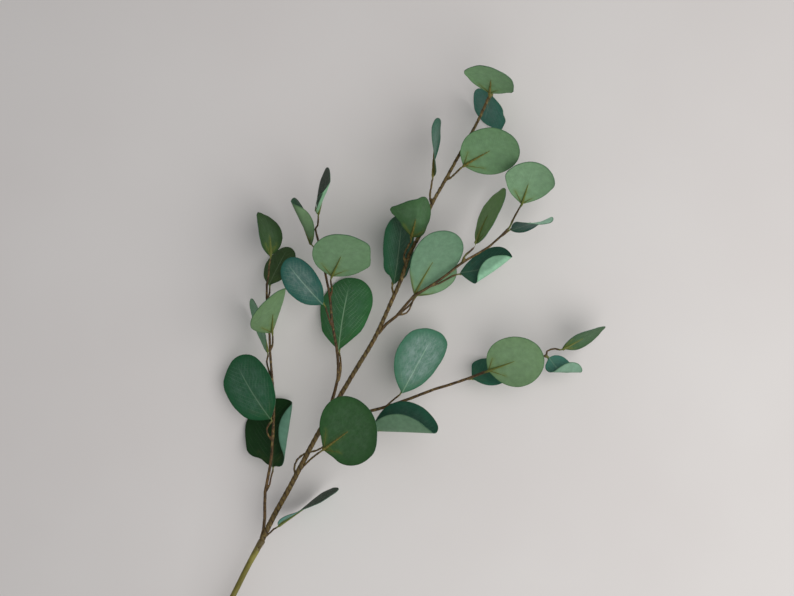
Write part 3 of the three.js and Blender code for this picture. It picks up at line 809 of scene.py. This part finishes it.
@dataclass
class Leaf:
    """One blade: a sheet of printed fabric taken from its CAD node, with its midrib and veins pressed in."""

    node: str
    number: int
    wave: float = 0.55 * MM  # height of the ripples
    wave_size: float = 17 * MM
    fine_wave_size: float = 7 * MM
    curl: float = 5 * MM  # how far in from the edge the ripples are stronger
    groove: float = 0.3 * MM  # depth of the pressed midrib
    groove_width: float = 1.6 * MM
    pull_depth: float = 13 * MM  # how far in from the edge a pull still moves the cloth
    side_rib_angle: float = 42.0  # degrees from the midrib
    rib_radius: float = 0.5 * MM
    rib_taper: float = 0.72  # how much of its radius a side rib loses
    rib_points: int = 9
    stain_width: float = 1.9 * MM
    smooth_angle: float = math.radians(50)
    piece: bpy.types.Object = field(init=False)
    cloth: FlatCloth = field(init=False)
    length: float = field(init=False)
    base: Vector = field(init=False)

    def build(self, stems: BVHTree) -> None:
        """Makes the blade's mesh.

        Args:
            stems: the surface of the twig that carries it.
        """
        self.piece = copy_of(self.node, f"leaf_{self.node.removeprefix('blade_')}")
        self._keep_upper_sheet(stems)
        self._lay_flat(stems)
        add_modifier(self.piece, "SUBSURF", levels=FABRIC_LEVELS, render_levels=FABRIC_LEVELS)
        self._measure()
        self._cut_outline()
        self._press()
        self._thicken()

    def _keep_upper_sheet(self, stems: BVHTree) -> None:
        """Deletes the rim and the underside, which is the side that the rib lies against.

        Args:
            stems: the surface of the twig that carries it.
        """
        mesh = bmesh.new()
        mesh.from_mesh(self.piece.data)
        mesh.faces.ensure_lookup_table()
        whole = sum(face.calc_area() for face in mesh.faces)
        for sharp in RIM_ANGLES:
            sheets = self._sheets(mesh, math.radians(sharp))
            shares = [sum(face.calc_area() for face in sheet) / whole for sheet in sheets]
            if len(shares) > 2 and shares[0] < SHEET_SHARES[1] and shares[1] > SHEET_SHARES[0]:
                break
        scores = [self._closeness(sheet, stems) for sheet in sheets[:2]]
        upper = set(sheets[scores.index(min(scores))])
        bmesh.ops.delete(mesh, geom=[f for f in mesh.faces if f not in upper], context="FACES")
        mesh.to_mesh(self.piece.data)
        mesh.free()
        select_only(self.piece)
        bpy.ops.object.mode_set(mode="EDIT")
        bpy.ops.mesh.select_all(action="SELECT")
        bpy.ops.mesh.tris_convert_to_quads(face_threshold=math.pi, shape_threshold=math.pi)
        bpy.ops.object.mode_set(mode="OBJECT")

    @staticmethod
    def _sheets(mesh: bmesh.types.BMesh, sharp: float) -> list[list[bmesh.types.BMFace]]:
        """The faces of a blade in groups that sharp edges part, the largest group first.

        Args:
            mesh: the whole blade.
            sharp: the angle, in radians, past which an edge parts its faces.

        Returns:
            The groups of faces.
        """
        sheets: list[list[bmesh.types.BMFace]] = []
        seen: set[int] = set()
        for start in mesh.faces:
            if start.index in seen:
                continue
            seen.add(start.index)
            sheet, queue = [], [start]
            while queue:
                face = queue.pop()
                sheet.append(face)
                for edge in face.edges:
                    if edge.calc_face_angle(math.pi) > sharp:
                        continue
                    for other in edge.link_faces:
                        if other.index not in seen:
                            seen.add(other.index)
                            queue.append(other)
            sheets.append(sheet)
        return sorted(sheets, key=lambda sheet: -sum(face.calc_area() for face in sheet))

    @staticmethod
    def _closeness(sheet: list[bmesh.types.BMFace], stems: BVHTree) -> int:
        """How many sample points of a sheet face the rib across a gap of a millimetre or so.

        Args:
            sheet: one side of the blade.
            stems: the surface of the twig that carries it.

        Returns:
            The number of points.
        """
        hits = 0
        for face in sheet:
            corners = [v.co for v in face.verts]
            for a, b, c in SPOT_WEIGHTS:
                spot = corners[0] * a + corners[1] * b + corners[2] * c + face.normal * SPOT_LIFT
                hits += stems.ray_cast(spot, face.normal, RIB_GAP)[0] is not None
        return hits

    def _lay_flat(self, stems: BVHTree) -> None:
        """Unwraps the sheet, and turns its map so that the midrib runs up it from the base at its foot.

        Args:
            stems: the surface of the twig that carries it.
        """
        select_only(self.piece)
        mesh = self.piece.data
        while mesh.uv_layers:
            mesh.uv_layers.remove(mesh.uv_layers[0])
        mesh.uv_layers.new(name="cloth")
        bpy.ops.object.mode_set(mode="EDIT")
        bpy.ops.mesh.select_all(action="SELECT")
        bpy.ops.uv.unwrap(method="ANGLE_BASED", margin=0.0)
        bpy.ops.object.mode_set(mode="OBJECT")
        flat, triangles = self._flat_points()
        points = points_of(mesh)
        corners = np.array(triangles)
        scale = math.sqrt(self._area(points, corners) / self._area(flat, corners))
        flat = flat * scale
        middle = self._centroid(flat, corners)
        spots = self._rib_spots(points, flat, triangles, stems)
        foot = spots.mean(axis=0) - middle
        rim = np.unique(self._rim(mesh))
        gaps = {i: stems.find_nearest(Vector(points[i]))[3] for i in rim}
        near = [i for i in rim if gaps[i] < BASE_GAP] or list(rim)
        base = max(near, key=lambda i: float((flat[i] - middle) @ foot))
        up = middle - flat[base]
        up = up / np.linalg.norm(up)
        right = np.array([up[1], -up[0]])
        turned = np.stack([(flat - flat[base]) @ right, (flat - flat[base]) @ up], axis=1)
        self._write_map(turned)
        self.base = Vector(points[base])
        crease = mesh.attributes.new("crease_vert", "FLOAT", "POINT")
        crease.data[int(base)].value = 1.0

    def _flat_points(self) -> tuple[np.ndarray, list[tuple[int, int, int]]]:
        """The map's place of each point, and the mesh's triangles.

        Returns:
            The places, one row for each point, and three point numbers for each triangle.
        """
        mesh = self.piece.data
        flat = np.zeros((len(mesh.vertices), 2))
        layer = mesh.uv_layers["cloth"].data
        for loop in mesh.loops:
            flat[loop.vertex_index] = layer[loop.index].uv
        mesh.calc_loop_triangles()
        return flat, [tuple(t.vertices) for t in mesh.loop_triangles]

    @staticmethod
    def _area(points: np.ndarray, corners: np.ndarray) -> float:
        """The area of some triangles, flat or in space.

        Args:
            points: rows of two or three numbers.
            corners: rows of three point numbers.

        Returns:
            The area.
        """
        wide = np.zeros((len(points), 3))
        wide[:, : points.shape[1]] = points
        a, b, c = (wide[corners[:, i]] for i in range(3))
        return float(np.linalg.norm(np.cross(b - a, c - a), axis=1).sum() / 2)

    @staticmethod
    def _centroid(flat: np.ndarray, corners: np.ndarray) -> np.ndarray:
        """The middle of the flat cloth by area.

        Args:
            flat: rows of x and y.
            corners: rows of three point numbers.

        Returns:
            The middle's x and y.
        """
        a, b, c = (flat[corners[:, i]] for i in range(3))
        ab, ac = b - a, c - a
        weight = np.abs(ab[:, 0] * ac[:, 1] - ab[:, 1] * ac[:, 0])[:, None]
        return ((a + b + c) / 3 * weight).sum(axis=0) / weight.sum()

    @staticmethod
    def _rib_spots(
        points: np.ndarray, flat: np.ndarray, triangles: list[tuple[int, int, int]], stems: BVHTree
    ) -> np.ndarray:
        """Points of the flat cloth that the rib lies under.

        Args:
            points: the sheet's points in space.
            flat: the same points in the flat cloth.
            triangles: three point numbers for each triangle.
            stems: the surface of the twig that carries the blade.

        Returns:
            Rows of x and y in the flat cloth.
        """
        spots = []
        for corners in triangles:
            a, b, c = (Vector(points[i]) for i in corners)
            inward = (b - a).cross(c - a).normalized() * -1
            for weights in SPOT_WEIGHTS:
                spot = a * weights[0] + b * weights[1] + c * weights[2]
                start = spot + inward * (FABRIC_THICKNESS + SPOT_LIFT)
                if stems.ray_cast(start, inward, RIB_GAP)[0] is not None:
                    spots.append(np.array(weights) @ flat[list(corners)])
        return np.array(spots)

    @staticmethod
    def _rim(mesh: bpy.types.Mesh) -> np.ndarray:
        """The open edges round a sheet, as pairs of point numbers.

        Args:
            mesh: the sheet.

        Returns:
            Rows of two point numbers.
        """
        count: dict[tuple[int, int], int] = {}
        for polygon in mesh.polygons:
            for key in polygon.edge_keys:
                count[key] = count.get(key, 0) + 1
        return np.array([key for key, uses in count.items() if uses == 1])

    def _write_map(self, flat: np.ndarray) -> None:
        """Writes the flat places, in metres from the base, as the blade's UV map.

        Args:
            flat: rows of x and y.
        """
        mesh = self.piece.data
        layer = mesh.uv_layers["cloth"].data
        for loop in mesh.loops:
            x, y = flat[loop.vertex_index]
            layer[loop.index].uv = (UV_MIDRIB + x / UV_SPAN, y / UV_SPAN)

    def _measure(self) -> None:
        """Reads the fine sheet's flat places back, and keeps them for the ribs and the pressing."""
        flat, triangles = self._flat_points()
        flat = (flat - np.array([UV_MIDRIB, 0.0])) * UV_SPAN
        self.cloth = FlatCloth(points_of(self.piece.data), flat, triangles)
        self.length = float(flat[:, 1].max())

    def _edge_gaps(self) -> np.ndarray:
        """How far each point of the flat cloth is from its edge.

        Returns:
            The distances, in metres.
        """
        flat = self.cloth.flat
        rim = self._rim(self.piece.data)
        start = flat[rim[:, 0]]
        run = flat[rim[:, 1]] - start
        offset = flat[:, None, :] - start[None, :, :]
        share = np.clip((offset * run).sum(-1) / np.maximum((run * run).sum(-1), 1e-12), 0, 1)
        return np.linalg.norm(offset - share[..., None] * run, axis=-1).min(axis=1)

    def _cut_outline(self) -> None:
        """Pulls the cloth out or in, along itself, where this leaf's edge leaves the oval."""
        flat = self.cloth.flat.copy()
        arms = flat - np.array([0.0, self.length / 2])
        turns = np.degrees(np.arctan2(arms[:, 0], arms[:, 1]))
        reach = np.zeros(len(flat))
        for pull in OUTLINES.get(self.node, ()):
            off = (turns - pull.angle + 180) % 360 - 180
            reach += pull.reach * MM * np.exp(-((off / pull.spread) ** 2))
        reach *= smooth_step(self.pull_depth, 0.0, self._edge_gaps())
        points = self.cloth.points.copy()
        for i in np.flatnonzero(np.abs(reach) > 0.01 * MM):
            outward = arms[i] / np.linalg.norm(arms[i])
            way = self.cloth.in_space(*flat[i]) - self.cloth.in_space(*(flat[i] - outward * MM))
            points[i] += np.array(way.normalized()) * reach[i]
            flat[i] += outward * reach[i]
        move_points(self.piece.data, points)
        self._write_map(flat)
        self.cloth = FlatCloth(points, flat, self.cloth.triangles)

    def _press(self) -> None:
        """Presses the midrib in, and lets the cloth ripple towards its edge."""
        mesh = self.piece.data
        flat = self.cloth.flat
        gap = self._edge_gaps()
        along = np.clip(flat[:, 1] / self.length, 0, 1)
        across = np.abs(flat[:, 0])
        groove = -self.groove * np.exp(-((across / self.groove_width) ** 2)) * smooth_step(1.0, 0.55, along)
        loose = smooth_step(2 * MM, 12 * MM, across) * smooth_step(0.0, 0.3, along)
        seed = 7.3 * self.number
        ripple, fine = self._ripples(self.wave_size, seed), self._ripples(self.fine_wave_size, seed + 3)
        curl = smooth_step(self.curl, 0.0, gap)
        height = groove + self.wave * loose * (1.5 * ripple + 0.45 * fine) * (0.5 + 0.9 * curl)
        normals = normals_of(mesh)
        move_points(mesh, self.cloth.points + normals * height[:, None])
        self.cloth.points = points_of(mesh)
        ribs = np.array([self._rib_distance(x, y) for x, y in flat])
        stain = np.exp(-((ribs / self.stain_width) ** 2)) * smooth_step(0.62, 0.25, along)
        self._write_vector("place", np.stack([along, gap / EDGE_UNIT, stain], axis=1))

    def _ripples(self, size: float, seed: float) -> np.ndarray:
        """Soft noise over the flat cloth, with bumps of one size, at each of its points."""
        return np.array([noise.noise(Vector((x / size, y / size, seed))) for x, y in self.cloth.flat])

    def _side_rib(self, side: int) -> tuple[np.ndarray, np.ndarray]:
        """The two ends of a side rib in the flat cloth, on the left (-1) or the right (1).

        Args:
            side: -1 or 1.

        Returns:
            The start and the end, as x and y.
        """
        angle = math.radians(self.side_rib_angle + 5 * math.sin(self.number * 2.1 + side))
        reach = self.length * (0.27 + 0.04 * math.sin(self.number * 1.3 + 2 * side))
        start = np.array([side * 0.4 * MM, 1.2 * MM])
        return start, start + reach * np.array([side * math.sin(angle), math.cos(angle)])

    def _rib_distance(self, x: float, y: float) -> float:
        """How far a point of the flat cloth is from the nearest rib.

        Args:
            x: metres to the right of the midrib.
            y: metres up from the base.

        Returns:
            The distance, in metres.
        """
        spans = [(np.zeros(2), np.array([0.0, self.length * 0.5])), self._side_rib(-1), self._side_rib(1)]
        point = np.array([x, y])
        gaps = []
        for start, end in spans:
            run = end - start
            share = float(np.clip((point - start) @ run / (run @ run), 0, 1))
            gaps.append(float(np.linalg.norm(point - start - share * run)))
        return min(gaps)

    def _write_vector(self, name: str, values: np.ndarray) -> None:
        """Writes three numbers for each point as an attribute."""
        attribute = self.piece.data.attributes.new(name, "FLOAT_VECTOR", "POINT")
        attribute.data.foreach_set("vector", values.astype(np.float32).ravel())

    def _thicken(self) -> None:
        """Gives the sheet its thickness below, with the underside and the edge in their own slots."""
        for _ in Face:
            self.piece.data.materials.append(None)
        add_modifier(
            self.piece, "SOLIDIFY", thickness=FABRIC_THICKNESS, offset=-1.0, use_rim=True,
            material_offset=Face.UNDER.value, material_offset_rim=Face.EDGE.value,
        )
        select_only(self.piece)
        bpy.ops.object.shade_smooth_by_angle(angle=self.smooth_angle)

    def side_ribs(self) -> list[bpy.types.Object]:
        """Two thin tapered ribs that run out from the base under the blade, half sunk in it."""
        return [self._rib_tube(side) for side in (-1, 1)]

    def _rib_tube(self, side: int) -> bpy.types.Object:
        """One side rib, swept along a line on the underside.

        Args:
            side: -1 for the left, 1 for the right.

        Returns:
            The rib as a mesh object.
        """
        start, end = self._side_rib(side)
        bpy.ops.curve.primitive_nurbs_path_add()
        rib = bpy.context.object
        curve = rib.data
        curve.splines.clear()
        spline = curve.splines.new("POLY")
        spline.points.add(self.rib_points - 1)
        for i in range(self.rib_points):
            share = i / (self.rib_points - 1)
            x, y = start + (end - start) * share
            depth = FABRIC_THICKNESS + (0.12 - 0.2 * share) * MM
            spline.points[i].co = (*(self.cloth.in_space(x, y) + self._down(x, y) * depth), 1.0)
            spline.points[i].radius = 1.0 - self.rib_taper * share
        curve.dimensions = "3D"
        curve.bevel_depth = self.rib_radius
        curve.bevel_resolution = 2
        curve.use_fill_caps = True
        select_only(rib)
        bpy.ops.object.convert(target="MESH")
        return bpy.context.object

    def _down(self, x: float, y: float) -> Vector:
        """The way out of the underside at a point of the flat cloth.

        Args:
            x: metres to the right of the midrib.
            y: metres up from the base.

        Returns:
            The direction, one unit long.
        """
        reach = 0.8 * MM
        right = self.cloth.in_space(x + reach, y) - self.cloth.in_space(x - reach, y)
        up = self.cloth.in_space(x, y + reach) - self.cloth.in_space(x, y - reach)
        return up.cross(right).normalized()

    def dress(self, faces: dict[Face, bpy.types.Material]) -> None:
        """Puts the ink on, with each leaf's painted shade and light in it, and hands the piece to the frame.

        Args:
            faces: the material of each face.
        """
        look = LOOKS[self.node]
        mesh = self.piece.data
        for face in Face:
            mesh.materials[face.value] = faces[face]
        # these two inks hold painted shade: darker on leaves that lie in shade, paler on those in light
        upper, under = linear(look.upper)[:3], linear(look.under)[:3]
        inks_and_shade = {
            Face.UPPER.value: (*upper, look.bloom),
            Face.UNDER.value: (*under, UNDER_BLOOM),
            Face.EDGE.value: (*upper, 0.0),
        }
        attribute = mesh.attributes.new("ink_and_shade", "FLOAT_COLOR", "CORNER")
        colours = np.zeros((len(mesh.loops), 4), np.float32)
        for polygon in mesh.polygons:
            for loop in polygon.loop_indices:
                colours[loop] = inks_and_shade[polygon.material_index]
        attribute.data.foreach_set("color", colours.ravel())
        veining = mesh.attributes.new("veining", "FLOAT", "POINT")
        veining.data.foreach_set("value", np.full(len(mesh.vertices), look.veins, np.float32))
        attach(self.piece, "root")
        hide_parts(self.node)


# ---- stems ---------------------------------------------------------------------------------------


@dataclass
class Stem:
    """A moulded stem with its petioles, ribs and buds, remeshed from its CAD node into one soft skin."""

    node: str
    name: str
    voxel: float = 0.42 * MM
    swell: float = 0.1 * MM
    knobs: float = 0.12 * MM
    lump_size: float = 3.2 * MM
    wrap: float = 0.0  # how far the tape stands up
    wrap_pitch: float = 5.5 * MM
    seat: float = 0.45 * MM  # how far a rib is pulled to its blade
    near: float = 4.5 * MM  # from here in, the skin thins to olive and is pulled to the blade
    piece: bpy.types.Object = field(init=False)

    def build(self, blades: BVHTree) -> None:
        """Makes the stem's mesh.

        Args:
            blades: the surfaces of all the CAD blades.
        """
        self.piece = copy_of(self.node, self.name)
        add_modifier(self.piece, "REMESH", mode="VOXEL", voxel_size=self.voxel, adaptivity=0.0)
        add_modifier(self.piece, "SMOOTH", factor=0.5, iterations=5)
        self._shape(blades)
        select_only(self.piece)
        bpy.ops.object.shade_smooth()

    def _shape(self, blades: BVHTree) -> None:
        """Seats the ribs against their blades, and gives the skin its knobs and the marks of its wrapping.

        Args:
            blades: the surfaces of all the CAD blades.
        """
        mesh = self.piece.data
        points, normals = points_of(mesh), normals_of(mesh)
        moved = points.copy()
        leafward = np.zeros(len(points))
        for i, point in enumerate(points):
            near, _, _, gap = blades.find_nearest(Vector(point), self.near)
            if near is None:
                continue
            leafward[i] = float(smooth_step(self.near, 1.8 * MM, gap))
            if gap > 1e-7:
                seat = self.seat * float(smooth_step(self.near, 2.8 * MM, gap))
                moved[i] += np.array(near - Vector(point)) / gap * min(seat, gap)
        lumps = np.array([noise.noise(Vector(p) / self.lump_size) for p in points])
        moved += normals * (self.swell + self.knobs * lumps * (1 - 0.7 * leafward))[:, None]
        wound = self._wound(points)
        if self.wrap:
            moved += normals * (self.wrap * (wound - 0.5))[:, None]
        move_points(mesh, moved)
        for name, values in (("leafward", leafward), ("wrap", wound)):
            attribute = mesh.attributes.new(name, "FLOAT", "POINT")
            attribute.data.foreach_set("value", values.astype(np.float32))

    def _wound(self, points: np.ndarray) -> np.ndarray:
        """The height of the wound tape at each point: long slanting turns, each lapping the last one.

        Args:
            points: rows of x, y and z.

        Returns:
            The heights, from 0 to 1.
        """
        slant = points @ np.array([0.85, 1.0, 0.5]) / self.wrap_pitch
        turn = slant - np.floor(slant)
        return smooth_step(0.0, 0.25, turn) * smooth_step(1.0, 0.8, turn)

    def dress(self, finish: bpy.types.Material, slot: str) -> None:
        """Puts the finish on and hands the piece to the frame.

        Args:
            finish: the stem's material.
            slot: not used.
        """
        self.piece.data.materials.append(finish)
        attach(self.piece, "root")
        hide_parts(self.node)


@dataclass
class SideRibs:
    """The thin side ribs under all the leaves of one twig, as one moulded piece."""

    name: str
    leaves: list[Leaf]
    leafward: float = 0.75  # how far their skin is thinned to olive
    smooth_angle: float = math.radians(60)
    piece: bpy.types.Object = field(init=False)

    def build(self) -> None:
        """Makes every rib and joins them."""
        ribs = [rib for leaf in self.leaves for rib in leaf.side_ribs()]
        select_only(*ribs)
        bpy.ops.object.join()
        self.piece = bpy.context.object
        self.piece.name = self.name
        select_only(self.piece)
        bpy.ops.object.transform_apply(location=True, rotation=True, scale=True)
        bpy.ops.object.shade_smooth_by_angle(angle=self.smooth_angle)
        mesh = self.piece.data
        for name, value in (("leafward", self.leafward), ("wrap", 0.0)):
            attribute = mesh.attributes.new(name, "FLOAT", "POINT")
            attribute.data.foreach_set("value", np.full(len(mesh.vertices), value, np.float32))

    def dress(self, finish: bpy.types.Material) -> None:
        """Puts the finish on and hands the piece to the frame.

        Args:
            finish: the ribs' material.
        """
        self.piece.data.materials.clear()
        self.piece.data.materials.append(finish)
        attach(self.piece, "root")


@dataclass
class Wire:
    """The steel wire that shows at the cut end."""

    node: str = "core_wire"
    name: str = "core_wire_end"
    rounding: float = 0.25 * MM
    corner_angle: float = math.radians(70)  # sharper edges than this are rounded
    smooth_angle: float = math.radians(65)
    piece: bpy.types.Object = field(init=False)

    def build(self) -> None:
        """Rounds the CAD wire off."""
        self.piece = copy_of(self.node, self.name)
        add_modifier(self.piece, "BEVEL", width=self.rounding, segments=2, angle_limit=self.corner_angle)
        select_only(self.piece)
        bpy.ops.object.shade_smooth_by_angle(angle=self.smooth_angle)

    def dress(self, finish: bpy.types.Material) -> None:
        """Puts the finish on and hands the piece to the frame.

        Args:
            finish: the wire's material.
        """
        self.piece.data.materials.append(finish)
        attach(self.piece, "root")
        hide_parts(self.node)


# ---- studio --------------------------------------------------------------------------------------


@dataclass(frozen=True)
class AreaLight:
    """A soft square light that faces the middle of the branch."""

    name: str
    place: tuple[float, float, float]
    size: float
    power: float
    colour: str

    def add(self, target: Vector) -> None:
        """Adds the light.

        Args:
            target: the point that it faces.
        """
        bpy.ops.object.light_add(type="AREA", location=self.place)
        lamp = bpy.context.object
        lamp.name = self.name
        lamp.data.shape = "SQUARE"
        lamp.data.size = self.size
        lamp.data.energy = self.power
        lamp.data.color = linear(self.colour)[:3]
        lamp.rotation_euler = (target - Vector(self.place)).to_track_quat("-Z", "Y").to_euler()


@dataclass
class Studio:
    """A plain pale floor, soft light, and a camera that looks straight down."""

    turn: float = math.radians(26.8)  # of the camera about the upright
    height: float = 1.2001  # metres above the floor
    offset: tuple[float, float] = (-0.01705, 0.13435)  # of the camera from the middle of the branch
    lens: float = 62.4  # millimetres
    sensor: float = 36.0
    clip: float = 0.01
    floor_size: float = 8.0
    key_offset: tuple[float, float, float] = (0.62, -0.12, 0.9)  # to the view's right, up it, and above
    key_size: float = 1.5
    key_power: float = 12.6
    key_colour: str = "#fffcf9"
    room_colour: str = "#f7f6fa"
    ambient: float = 0.335

    def build(self) -> None:
        """Adds everything round the branch."""
        low, high = Vector(CAD_BOX[0]), Vector(CAD_BOX[1])
        middle = (low + high) / 2
        self._add_floor(middle, low.z)
        self._add_camera(middle, low.z)
        self._add_light(middle)

    def _add_floor(self, middle: Vector, level: float) -> None:
        """A wide flat floor under the branch.

        Args:
            middle: the middle of the branch.
            level: the height of its lowest point.
        """
        bpy.ops.mesh.primitive_plane_add(size=self.floor_size, location=(middle.x, middle.y, level))
        floor = bpy.context.object
        floor.name = "floor"
        bpy.ops.object.transform_apply(location=True, rotation=True, scale=True)
        floor.data.materials.append(PlainFloor().material())

    def _add_camera(self, middle: Vector, level: float) -> None:
        """A camera over the branch, turned so that the branch leans across the view.

        Args:
            middle: the middle of the branch.
            level: the height of the floor.
        """
        place = (middle.x + self.offset[0], middle.y + self.offset[1], level + self.height)
        bpy.ops.object.camera_add(location=place, rotation=(0.0, 0.0, self.turn))
        camera = bpy.context.object
        camera.data.lens = self.lens
        camera.data.sensor_width = self.sensor
        camera.data.clip_start = self.clip
        bpy.context.scene.camera = camera

    def _add_light(self, middle: Vector) -> None:
        """A soft key from the right, and pale light from all round.

        Args:
            middle: the middle of the branch.
        """
        right = Vector((math.cos(self.turn), math.sin(self.turn), 0.0))
        up = Vector((-math.sin(self.turn), math.cos(self.turn), 0.0))
        across, along, above = self.key_offset
        key = middle + right * across + up * along + Vector((0, 0, above))
        AreaLight("key_light", tuple(key), self.key_size, self.key_power, self.key_colour).add(middle)
        world = bpy.data.worlds.new("pale_room")
        bpy.context.scene.world = world
        world.use_nodes = True
        background = world.node_tree.nodes["Background"]
        background.inputs["Color"].default_value = linear(self.room_colour)
        background.inputs["Strength"].default_value = self.ambient
        bpy.context.scene.view_settings.view_transform = "Standard"
        bpy.context.scene.view_settings.look = "None"


# ---- the branch ----------------------------------------------------------------------------------


@dataclass
class Branch:
    """The whole artificial branch."""

    twigs: tuple[str, ...] = ("leader", "upper", "middle", "left", "right")
    mouth_back: tuple[float, float] = (16 * MM, 3 * MM)  # the brown part of the tube, back from its mouth

    def build(self) -> None:
        """Builds and dresses every piece."""
        blade_nodes = sorted(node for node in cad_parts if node.startswith("blade_"))
        blades = tree_of(blade_nodes)
        self._build_leaves(blade_nodes)
        self._build_stems(blades)
        wire = Wire()
        wire.build()
        wire.dress(DrawnWire().material())
        LOG.info("%s: %d faces", wire.piece.name, len(wire.piece.data.polygons))

    def _build_leaves(self, nodes: list[str]) -> None:
        """Builds the leaves of each twig, and the side ribs under them.

        Args:
            nodes: the names of the CAD blades, in order.
        """
        faces = {
            Face.UPPER: UPPER_PRINT.material(),
            Face.UNDER: UNDER_PRINT.material(),
            Face.EDGE: DyedEdge().material(),
        }
        rib_finish = TWIG_FINISH.material()
        for twig in (*self.twigs, "low"):
            stem = "petiole_low" if twig == "low" else f"twig_{twig}"
            tree = tree_of([stem])
            group = [node for node in nodes if node.startswith(f"blade_{twig}")]
            grown = [Leaf(node, nodes.index(node)) for node in group]
            for leaf in grown:
                leaf.build(tree)
                leaf.dress(faces)
                LOG.info(
                    "%s: %d faces, %.0f mm long, base at %s", leaf.piece.name, len(leaf.piece.data.polygons),
                    leaf.length / MM, [round(v / MM, 1) for v in leaf.base],
                )
            ribs = SideRibs(f"side_ribs_{twig}", grown)
            ribs.build()
            ribs.dress(rib_finish)

    def _build_stems(self, blades: BVHTree) -> None:
        """Builds the bound main stem, the twigs, the low petiole and the plain tube.

        Args:
            blades: the surfaces of all the CAD blades.
        """
        twig_finish, leader_finish = TWIG_FINISH.material(), LEADER_FINISH.material()
        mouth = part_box("stem_sleeve")[1].y
        tube = MouldedTube(tuple(mouth - back for back in self.mouth_back)).material()
        sleeve = Stem("stem_sleeve", "olive_tube", voxel=0.5 * MM, swell=0.03 * MM, knobs=0.05 * MM)
        plan = [
            (Stem("twig_leader", "bound_main_stem", wrap=0.22 * MM), leader_finish, "twig"),
            (Stem("twig_upper", "upper_twig"), twig_finish, "twig"),
            (Stem("twig_middle", "middle_twig"), twig_finish, "twig"),
            (Stem("twig_left", "left_twig"), twig_finish, "twig"),
            (Stem("twig_right", "right_twig"), twig_finish, "twig"),
            (Stem("petiole_low", "low_petiole"), twig_finish, "twig"),
            (sleeve, tube, "sleeve"),
        ]
        for stem, finish, slot in plan:
            stem.build(blades)
            stem.dress(finish, slot)
            LOG.info("%s: %d faces", stem.piece.name, len(stem.piece.data.polygons))


def main() -> None:
    """Builds the studio and the branch, in order."""
    logging.basicConfig(level=logging.INFO, format="%(message)s")
    Studio().build()
    Branch().build()


if __name__ == "__main__":
    main()
